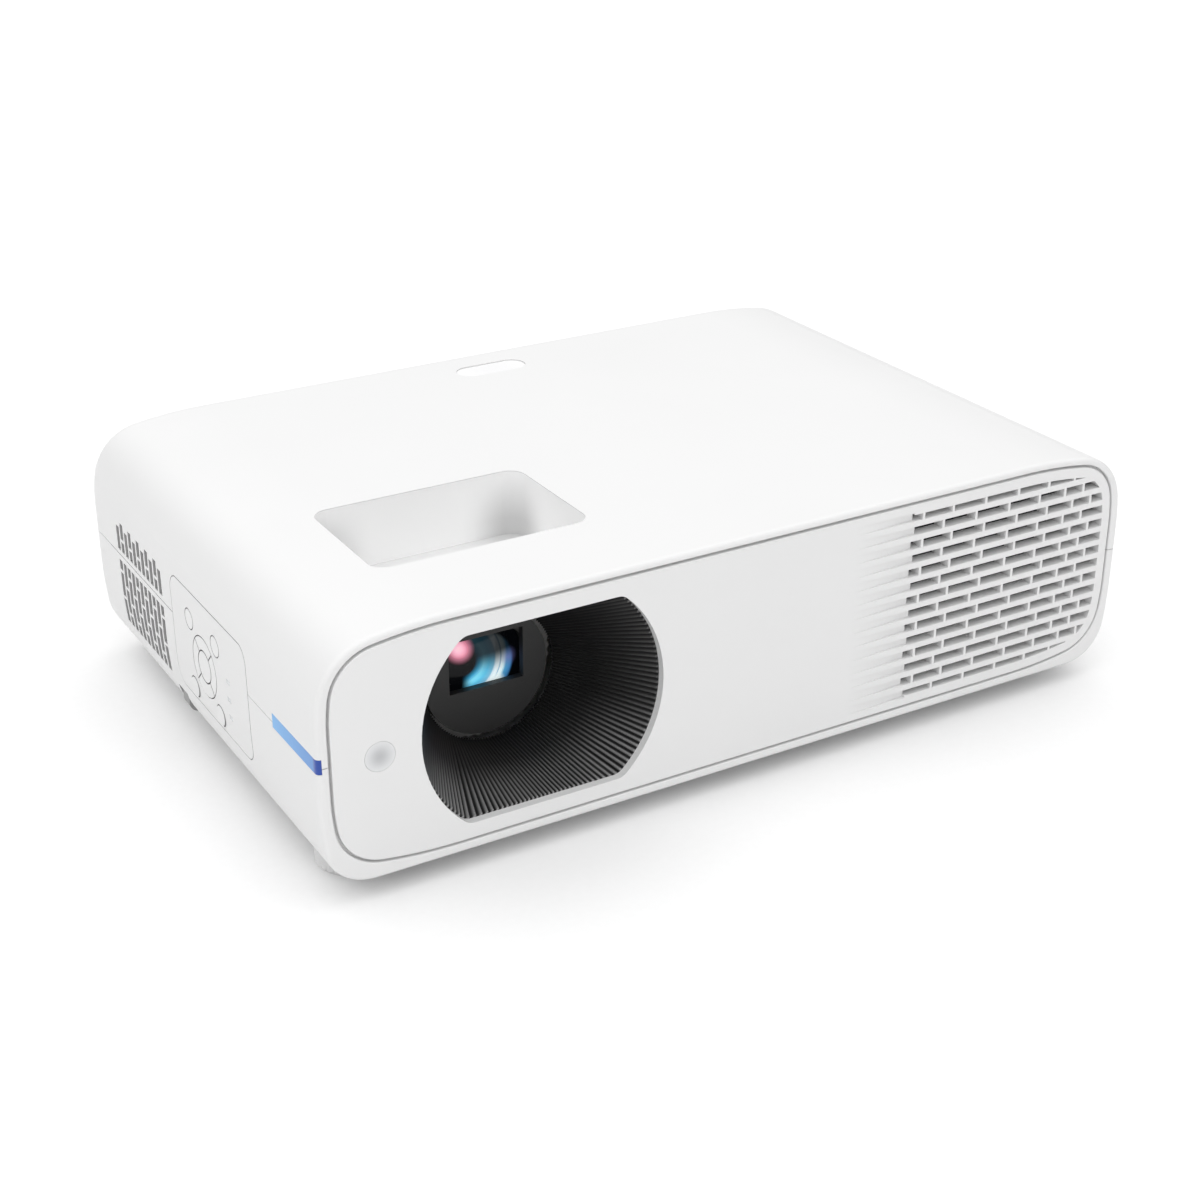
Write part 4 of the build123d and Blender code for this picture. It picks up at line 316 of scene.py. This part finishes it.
def coated_glass():
    """Optical glass, polished and vacuum coated: black depth, with painted reflections of the lights as a
    rose glow and cyan arcs, which glow as emission too.
    """
    gloss = {"Roughness": 0.05, "Specular_IOR_Level": 0.12, "Emission_Strength": PAINTED_REFLECTION_EMISSION}
    material, tree, shader, place = start("optical_glass_coated", IOR=OPTICAL_GLASS_IOR, **gloss)
    centre = sum(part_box("front_lens_glass"), Vector()) / 2

    def glow(place_mm, fade_mm, blend="SMOOTHSTEP"):
        """A mask round a place on the glass's face."""
        middle = centre + Vector((place_mm[0], 0.0, place_mm[1])) / MM_PER_M
        return spot(tree, place, middle, fade_mm, (1.0, 0.0, 1.0), blend)

    # Painted reflections of the softboxes: arcs round one point, which run out at the rim, the top and one
    # side.
    from_middle = glow(ARC_MIDDLE_MM, (0.0, ARC_REACH_MM), "LINEAR")
    arcs = add(tree, "ShaderNodeValToRGB", {"Fac": from_middle}, PAINTED_REFLECTION_ARCS)
    split = add(tree, "ShaderNodeSeparateXYZ", {"Vector": place})
    lit = glow((0.0, 0.0), RIM_FADE_MM)
    fades = (("Z", centre.z, TOP_FADE_MM, TOP_REST), ("X", centre.x, SIDE_FADE_MM, 0.0))
    for axis, middle, fade_mm, rest in fades:
        gone, full = (middle + distance / MM_PER_M for distance in fade_mm)
        limits = {"Value": split.outputs[axis], "From Min": gone, "From Max": full, "To Min": rest}
        step = add(tree, "ShaderNodeMapRange", limits, interpolation_type="SMOOTHSTEP").outputs["Result"]
        lit = add(tree, "ShaderNodeMath", {0: lit, 1: step}, operation="MULTIPLY").outputs[0]
    layers = [(lit, arcs.outputs["Color"])]
    layers += [(glow(place_mm, fade_mm), opaque(code)) for place_mm, fade_mm, code in PAINTED_REFLECTION_SPOTS]
    colour = opaque(COAT_DARK)
    for mask, shade in layers:
        layer = add(tree, "ShaderNodeMix", {"Factor": mask, "A": colour, "B": shade}, data_type="RGBA")
        colour = layer.outputs["Result"]
    tree.links.new(colour, shader.inputs["Base Color"])
    # The painted reflections also glow as emission, though the glass is no lamp
    tree.links.new(colour, shader.inputs["Emission Color"])
    return material


def clear_glass():
    """Optical glass, polished: clear with a faint cool tint and a trace of haze."""
    tinted = {"Transmission_Weight": 0.9, "Base_Color": opaque("#DCE9F2")}
    material, tree, shader, place = start("optical_glass_clear", IOR=OPTICAL_GLASS_IOR, **tinted)
    hazy = {"Vector": place, "Scale": per_metre(GLASS_HAZE_MM), "Detail": 2.0}
    haze = add(tree, "ShaderNodeTexNoise", hazy).outputs["Fac"]
    gloss = add(tree, "ShaderNodeMapRange", {"Value": haze, "To Min": 0.02, "To Max": 0.06})
    tree.links.new(gloss.outputs["Result"], shader.inputs["Roughness"])
    return material


def blue_abs():
    """Pigmented ABS, moulded smooth: pale blue along the side and deep blue where it turns round the lip."""
    gloss = {"Roughness": 0.32, "Coat_Weight": 0.15}
    material, tree, shader, place = start("abs_blue_moulded", IOR=ABS_IOR, **gloss)
    low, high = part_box("accent_strip")
    split = add(tree, "ShaderNodeSeparateXYZ", {"Vector": place})
    backwards = {"Value": split.outputs["Y"], "From Min": low.y, "From Max": high.y}
    along = add(tree, "ShaderNodeMapRange", backwards).outputs["Result"]
    tone = add(tree, "ShaderNodeValToRGB", {"Fac": along}, ACCENT_TONES)
    tree.links.new(tone.outputs["Color"], shader.inputs["Base Color"])
    return material


def smoked_window(name, node, core, rim, core_mm):
    """Smoked PMMA, moulded and polished: a pale disc that darkens softly over the sensor behind it."""
    material, tree, shader, place = start(name, IOR=PMMA_IOR, Roughness=0.18)
    centre = sum(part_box(node), Vector()) / 2
    outside = spot(tree, place, centre, (0.0, core_mm), (1.0, 1.0, 1.0))
    tones = {"Factor": outside, "A": opaque(core), "B": opaque(rim)}
    tone = add(tree, "ShaderNodeMix", tones, data_type="RGBA")
    tree.links.new(tone.outputs["Result"], shader.inputs["Base Color"])
    return material


def metal(name, code, shade, streak_mm, dull, bright, stretch):
    """A metal finished in one direction: fine streaks in tone and gloss along it."""
    material, tree, shader, place = start(name, Metallic=1.0)
    drawn = add(tree, "ShaderNodeMapping", {"Vector": place, "Scale": stretch})
    streaks = {"Vector": drawn.outputs["Vector"], "Scale": per_metre(streak_mm), "Detail": 4.0}
    streak = add(tree, "ShaderNodeTexNoise", streaks).outputs["Fac"]
    tones = {"Factor": streak, "A": opaque(code), "B": opaque(shade)}
    tone = add(tree, "ShaderNodeMix", tones, data_type="RGBA")
    tree.links.new(tone.outputs["Result"], shader.inputs["Base Color"])
    gloss = add(tree, "ShaderNodeMapRange", {"Value": streak, "To Min": bright, "To Max": dull})
    tree.links.new(gloss.outputs["Result"], shader.inputs["Roughness"])
    return material


def circuit_board():
    """FR4 laminate under green solder mask: a glossy green with paler copper traces showing through."""
    gloss = {"Roughness": 0.25, "Coat_Weight": 0.3}
    material, tree, shader, place = start("fr4_solder_mask", IOR=LAMINATE_IOR, **gloss)
    cells = {"Vector": place, "Scale": per_metre(BOARD_CELL_MM)}
    square = {"distance": "MANHATTAN", "feature": "DISTANCE_TO_EDGE"}
    traces = add(tree, "ShaderNodeTexVoronoi", cells, **square)
    edge = add(tree, "ShaderNodeMapRange", {"Value": traces.outputs["Distance"], "From Max": BOARD_TRACE})
    tones = {"Factor": edge.outputs["Result"], "A": opaque("#2F7A4B"), "B": opaque("#14502C")}
    tone = add(tree, "ShaderNodeMix", tones, data_type="RGBA")
    tree.links.new(tone.outputs["Result"], shader.inputs["Base Color"])
    return material


def studio_paper():
    """White paper sweep: matt with a trace of fibre."""
    material, tree, shader, place = start("paper_sweep_white", Roughness=0.9, Specular_IOR_Level=0.0)
    fibres = {"Vector": place, "Scale": per_metre(PAPER_FIBRE_MM), "Detail": 2.0}
    fibre = add(tree, "ShaderNodeTexNoise", fibres).outputs["Fac"]
    tones = {"Factor": fibre, "A": opaque("#F2F2F2"), "B": opaque("#F5F5F5")}
    tone = add(tree, "ShaderNodeMix", tones, data_type="RGBA")
    tree.links.new(tone.outputs["Result"], shader.inputs["Base Color"])
    return material


def dress(material, *names):
    """Give CAD nodes a material and smooth shading with crisp edges."""
    for name in names:
        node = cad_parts[name]
        node.data.materials.clear()
        node.data.materials.append(material)
        node.data.shade_smooth()
        node.data.set_sharp_from_angle(angle=CRISP_EDGE)


# Settings


class ProjectorFinish(bpy.types.PropertyGroup):
    shell_light: FloatVectorProperty(
        name="Shell",
        description="Lighter tone of the white shell",
        subtype="COLOR",
        default=linear("#E5E5E5"),
        min=0.0,
        max=1.0,
    )
    shell_shade: FloatVectorProperty(
        name="Shell shade",
        description="Darker tone that the white shell drifts to",
        subtype="COLOR",
        default=linear("#E2E2E2"),
        min=0.0,
        max=1.0,
    )
    grain: FloatProperty(
        name="Grain",
        description="Width of the shell's moulded grain in millimetres",
        default=0.45,
        min=0.05,
    )


class ProjectorStudio(bpy.types.PropertyGroup):
    camera_place: FloatVectorProperty(
        name="Camera",
        description="Where the camera stands",
        subtype="TRANSLATION",
        default=(-0.3915, -0.66585, 0.400),
    )
    camera_tilt: FloatProperty(
        name="Tilt", description="Camera tilt from straight down", subtype="ANGLE", default=radians(64.3)
    )
    camera_turn: FloatProperty(
        name="Turn", description="Camera turn about the upright", subtype="ANGLE", default=radians(-30.5)
    )
    focal_length: FloatProperty(
        name="Lens", description="Focal length in millimetres", default=60.42, min=1.0
    )
    dome_top: FloatProperty(
        name="Dome top", description="Brightness of the light dome overhead", default=1.75
    )
    dome_side: FloatProperty(
        name="Dome side", description="Brightness of the dome at the horizon", default=0.06
    )
    backdrop: FloatProperty(
        name="Backdrop", description="Brightness of the dome behind the object", default=1.0
    )
    key_power: FloatProperty(
        name="Key light", description="Power of the large softbox overhead", subtype="POWER", default=2.8
    )
    fill_power: FloatProperty(
        name="Fill light", description="Power of the low softbox in front", subtype="POWER", default=1.5
    )


# Operators


class PROJECTOR_OT_shell(bpy.types.Operator):
    """Dress the white shell, bezel, grille, keypad panel and rear panel"""

    bl_idname = "projector.shell"
    bl_label = "Shell"

    def execute(self, context):
        finish = context.scene.projector_finish
        tones = {"light": finish.shell_light, "shade": finish.shell_shade}
        sheen = {"grain_mm": finish.grain, "dull": 0.52, "bright": 0.40}
        moulded = fine_grained("abs_white_moulded", **tones, **sheen)
        dress(moulded, "front_bezel", "exhaust_grille", "rear_panel")
        case = fine_grained("abs_white_case", **tones, **sheen)
        cover = fine_grained("abs_white_cover", **tones, **sheen)
        # Painted shade on the walls of the intake slots
        self.shade_intake_walls(case, cover)
        # Painted light on the well's walls, painted shade on its floor and in its rear corners
        self.paint_well_light_and_shade(cover)
        dress(case, "lower_case")
        dress(cover, "upper_cover")
        panel = fine_grained("abs_white_panel", **tones, **sheen)
        # Painted shade on the walls in the panel's narrow gaps
        tint(panel, GAP_SHADE, across="X")
        dress(panel, "keypad_panel")
        return {"FINISHED"}

    def shade_intake_walls(self, *halves):
        """Painted shade greys the walls of the intake slots, in both halves of the shell."""
        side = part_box("upper_cover")[0].x
        low, high = (Vector(corner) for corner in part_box("intake_fan_frame"))
        margin = Vector((0.0, INTAKE_MARGIN, INTAKE_MARGIN))
        low = Vector((side - INTAKE_WALL, low.y, low.z)) - margin
        high = Vector((side + INTAKE_WALL, high.y, high.z)) + margin
        for half in halves:
            tint(half, INTAKE_PAINTED_SHADE, low, high, "X")

    def paint_well_light_and_shade(self, cover):
        """The lens well is painted brighter as painted light, with painted shade on its floor and in its two
        rear corners.
        """
        lens = sum(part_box("front_lens_cell"), Vector()) / 2
        well = Vector((lens.x, lens.y + WELL_BEHIND_LENS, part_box("upper_cover")[1].z))
        # Painted light brightens the walls below the rim, then painted shade darkens the floor
        for code, top in ((WELL_PAINTED_LIGHT, WELL_RIM), (WELL_FLOOR_PAINTED_SHADE, WELL_FLOOR)):
            tint(cover, code, well - WELL_REACH, well + Vector((WELL_REACH.x, WELL_REACH.y, -top)))
        # Painted shade deep in the two rear corners greys them softly.
        tree = cover.node_tree
        shader = tree.nodes["Principled BSDF"]
        colour = shader.inputs["Base Color"].links[0].from_socket
        place = add(tree, "ShaderNodeTexCoord").outputs["Object"]
        height = add(tree, "ShaderNodeSeparateXYZ", {"Vector": place}).outputs["Z"]
        downwards = {"Value": height, "From Min": well.z, "From Max": well.z - CORNER_SHADE_DOWN}
        down = add(tree, "ShaderNodeMapRange", downwards).outputs["Result"]
        for side in (-1.0, 1.0):
            corner = well + Vector((side * WELL_CORNER.x, WELL_CORNER.y, 0.0))
            near = spot(tree, place, corner, CORNER_SHADE_MM, (1.0, 1.0, 0.0))
            painted_mask = add(tree, "ShaderNodeMath", {0: near, 1: down}, operation="MULTIPLY")
            layer = {"Factor": painted_mask.outputs[0], "A": colour, "B": opaque(CORNER_PAINTED_SHADE)}
            colour = add(tree, "ShaderNodeMix", layer, data_type="RGBA").outputs["Result"]
        tree.links.new(colour, shader.inputs["Base Color"])


class PROJECTOR_OT_keys(bpy.types.Operator):
    """Dress the keys and the indicator lights"""

    bl_idname = "projector.keys"
    bl_label = "Keys"

    def execute(self, context):
        finish = context.scene.projector_finish
        sheen = {"grain_mm": finish.grain, "dull": 0.42, "bright": 0.30}
        key = fine_grained("abs_white_keys", finish.shell_light, finish.shell_shade, **sheen)
        # Painted shade on the keys' walls in the narrow gaps
        tint(key, GAP_SHADE, across="X")
        round_keys = [place + "_button" for place in ("power", "source", "back", "menu", "ok")]
        arrows = ["arrow_" + place for place in ("up", "rear", "down", "front")]
        dress(key, *round_keys, *arrows)
        tones = {"core": "#C9CCD0", "rim": "#D8DADD", "core_mm": 9.0}
        dress(smoked_window("pmma_indicator", "indicator_lights", **tones), "indicator_lights")
        return {"FINISHED"}


class PROJECTOR_OT_windows(bpy.types.Operator):
    """Dress the remote windows and the accent strip"""

    bl_idname = "projector.windows"
    bl_label = "Windows and accent"

    def execute(self, context):
        front = {"core": "#AFB0B3", "rim": "#DCDDDE", "core_mm": 6.2}
        dress(smoked_window("pmma_front_window", "front_ir_window", **front), "front_ir_window")
        top = {"core": "#EDEDEE", "rim": "#F0F0F0", "core_mm": 16.0}
        dress(smoked_window("pmma_top_window", "top_ir_window", **top), "top_ir_window")
        dress(blue_abs(), "accent_strip")
        return {"FINISHED"}


class PROJECTOR_OT_lens(bpy.types.Operator):
    """Dress the funnel, the lens cells, the rings and the glass"""

    bl_idname = "projector.lens"
    bl_label = "Lens"

    def execute(self, context):
        dress(ribbed_polycarbonate(), "lens_funnel")
        matt = {"grain_mm": 0.6, "dull": 0.6, "bright": 0.5}
        cell = matt_dark("polycarbonate_lens_cell", "#303030", "#2A2A2A", **matt)
        dress(cell, "front_lens_cell", "zoom_lens_cell", "lens_barrel")
        soft = {"grain_mm": 0.8, "dull": 0.6, "bright": 0.45}
        ring = fine_grained("abs_grey_rings", linear("#C6C6C4"), linear("#C0C0BE"), **soft)
        dress(ring, "focus_ring", "zoom_ring")
        dress(coated_glass(), "front_lens_glass")
        dress(clear_glass(), "zoom_lens_glass", "light_prism")
        return {"FINISHED"}


class PROJECTOR_OT_inside(bpy.types.Operator):
    """Dress the light engine, the boards, the cooling and the power supply"""

    bl_idname = "projector.inside"
    bl_label = "Inside"

    def execute(self, context):
        # Die-cast aluminium is dull and evenly mottled; extruded fins and drawn pipes have long streaks.
        cast = {"streak_mm": 1.5, "dull": 0.6, "bright": 0.45, "stretch": (1.0, 1.0, 1.0)}
        dress(metal("aluminium_die_cast", "#A4A6A9", "#8E9093", **cast), "engine_housing")
        extruded = {"streak_mm": 0.8, "dull": 0.45, "bright": 0.3, "stretch": (1.0, 0.1, 1.0)}
        fins = metal("aluminium_extruded", "#C4C6C9", "#AEB1B5", **extruded)
        dress(fins, "dmd_heatsink", "led_heatsink")
        drawn = {"streak_mm": 0.7, "dull": 0.4, "bright": 0.25, "stretch": (1.0, 0.1, 1.0)}
        dress(metal("copper_drawn", "#C4825C", "#A9653F", **drawn), "heat_pipes", "led_modules")
        dress(circuit_board(), "keypad_board", "dmd_board", "main_board", "power_board")
        moulded = {"grain_mm": 0.7, "dull": 0.55, "bright": 0.4}
        fan = matt_dark("pbt_fan_black", "#141414", "#1B1B1B", **moulded)
        fans = ("exhaust_fan_", "intake_fan_")
        dress(fan, *[place + part for place in fans for part in ("frame", "rotor")])
        varnished = {"grain_mm": 0.6, "dull": 0.5, "bright": 0.3}
        coil = matt_dark("varnished_winding", "#3A3026", "#2A241E", **varnished)
        dress(coil, "power_transformer", "power_capacitors", "speaker")
        return {"FINISHED"}


class PROJECTOR_OT_fittings(bpy.types.Operator):
    """Dress the sockets, feet, security bar, inserts and screws"""

    bl_idname = "projector.fittings"
    bl_label = "Sockets and feet"

    def execute(self, context):
        # Nickel plate is bright, zinc plate duller and streaked upright, turned brass closely ringed.
        nickel = {"streak_mm": 0.6, "dull": 0.35, "bright": 0.22, "stretch": (1.0, 0.2, 1.0)}
        plated = metal("steel_nickel_plated", "#C8C8C6", "#B4B4B2", **nickel)
        dress(plated, "hdmi_sockets", "usb_socket")
        smooth = {"grain_mm": 0.6, "dull": 0.45, "bright": 0.32}
        nylon = matt_dark("nylon_socket_black", "#101010", "#181818", **smooth)
        dress(nylon, "audio_jacks", "ac_inlet")
        matt = {"grain_mm": context.scene.projector_finish.grain, "dull": 0.6, "bright": 0.5}
        foot = fine_grained("abs_foot_moulded", linear("#DCDCDC"), linear("#D6D6D6"), **matt)
        dress(foot, *["foot_knob_" + corner for corner in CORNERS])
        upright = {"streak_mm": 0.5, "dull": 0.4, "bright": 0.28, "stretch": (1.0, 1.0, 0.2)}
        zinc = metal("steel_zinc_plated", "#B9BBBD", "#A3A5A8", **upright)
        dress(zinc, "case_screws", *["foot_stud_" + corner for corner in CORNERS])
        powder = {"grain_mm": 0.6, "dull": 0.6, "bright": 0.5}
        coated = fine_grained("steel_powder_coated", linear("#9C9C9C"), linear("#949494"), **powder)
        dress(coated, "security_bar")
        turned = {"streak_mm": 0.4, "dull": 0.35, "bright": 0.2, "stretch": (1.0, 1.0, 6.0)}
        dress(metal("brass_turned", "#C9A45C", "#B58C44", **turned), "mount_inserts", "foot_inserts")
        return {"FINISHED"}


class PROJECTOR_OT_studio(bpy.types.Operator):
    """Set up the floor, the light and the camera"""

    bl_idname = "projector.studio"
    bl_label = "Studio"

    def execute(self, context):
        scene = context.scene
        studio = scene.projector_studio
        self.paper_floor(scene)
        camera_data = bpy.data.cameras.new("camera")
        camera_data.sensor_width = SENSOR_WIDTH_MM
        camera_data.lens = studio.focal_length
        camera = bpy.data.objects.new("camera", camera_data)
        camera.location = studio.camera_place
        camera.rotation_euler = (studio.camera_tilt, 0.0, studio.camera_turn)
        scene.collection.objects.link(camera)
        scene.camera = camera
        self.light_dome(scene, studio)
        self.softbox(scene, "key_softbox", KEY_PLACE, KEY_SIZE, studio.key_power)
        self.softbox(scene, "fill_softbox", FILL_PLACE, FILL_SIZE, studio.fill_power)
        scene.view_settings.view_transform = "Standard"
        return {"FINISHED"}

    def paper_floor(self, scene):
        """A wide sheet of white paper under the object."""
        mesh = bpy.data.meshes.new("studio_floor")
        sides = ((-1, -1), (1, -1), (1, 1), (-1, 1))
        mesh.from_pydata([(x * FLOOR_REACH, y * FLOOR_REACH, 0.0) for x, y in sides], [], [(0, 1, 2, 3)])
        mesh.materials.append(studio_paper())
        floor = bpy.data.objects.new("studio_floor", mesh)
        scene.collection.objects.link(floor)

    def light_dome(self, scene, studio):
        """A pale dome that is brighter overhead."""
        world = bpy.data.worlds.new("light_dome")
        world.use_nodes = True
        tree = world.node_tree
        toward = add(tree, "ShaderNodeTexCoord").outputs["Generated"]
        upward = add(tree, "ShaderNodeSeparateXYZ", {"Vector": toward}).outputs["Z"]
        limits = {"Value": upward, "To Min": studio.dome_side, "To Max": studio.dome_top}
        rise = add(tree, "ShaderNodeMapRange", limits).outputs["Result"]
        # Looked at directly, the dome is an even white backdrop.
        seen = add(tree, "ShaderNodeLightPath").outputs["Is Camera Ray"]
        strength = add(tree, "ShaderNodeMix", {"Factor": seen, "A": rise, "B": studio.backdrop})
        background = tree.nodes["Background"]
        background.inputs["Color"].default_value = opaque("#FFFFFF")
        tree.links.new(strength.outputs["Result"], background.inputs["Strength"])
        scene.world = world

    def softbox(self, scene, name, place, size, power):
        """A rectangular area light that faces the object."""
        light = bpy.data.lights.new(name, "AREA")
        light.shape = "RECTANGLE"
        light.size, light.size_y = size
        light.energy = power
        lamp = bpy.data.objects.new(name, light)
        lamp.location = place
        aim = LIGHTS_AIM - Vector(place)
        lamp.rotation_euler = aim.to_track_quat("-Z", "Y").to_euler()
        scene.collection.objects.link(lamp)


class PROJECTOR_PT_sidebar(bpy.types.Panel):
    bl_idname = "PROJECTOR_PT_sidebar"
    bl_label = "Projector"
    bl_space_type = "VIEW_3D"
    bl_region_type = "UI"
    bl_category = "Projector"

    def draw(self, context):
        for operator in OPERATORS:
            self.layout.operator(operator.bl_idname)
        for settings in (context.scene.projector_finish, context.scene.projector_studio):
            for name in settings.__annotations__:
                self.layout.prop(settings, name)


OPERATORS = (
    PROJECTOR_OT_shell,
    PROJECTOR_OT_keys,
    PROJECTOR_OT_windows,
    PROJECTOR_OT_lens,
    PROJECTOR_OT_inside,
    PROJECTOR_OT_fittings,
    PROJECTOR_OT_studio,
)
CLASSES = (ProjectorFinish, ProjectorStudio, *OPERATORS, PROJECTOR_PT_sidebar)


def register():
    for cls in CLASSES:
        bpy.utils.register_class(cls)
    bpy.types.Scene.projector_finish = PointerProperty(type=ProjectorFinish)
    bpy.types.Scene.projector_studio = PointerProperty(type=ProjectorStudio)


def unregister():
    del bpy.types.Scene.projector_studio
    del bpy.types.Scene.projector_finish
    for cls in reversed(CLASSES):
        bpy.utils.unregister_class(cls)


def main():
    register()
    bpy.ops.projector.shell()
    bpy.ops.projector.keys()
    bpy.ops.projector.windows()
    bpy.ops.projector.lens()
    bpy.ops.projector.inside()
    bpy.ops.projector.fittings()
    bpy.ops.projector.studio()


if __name__ == "__main__":
    main()
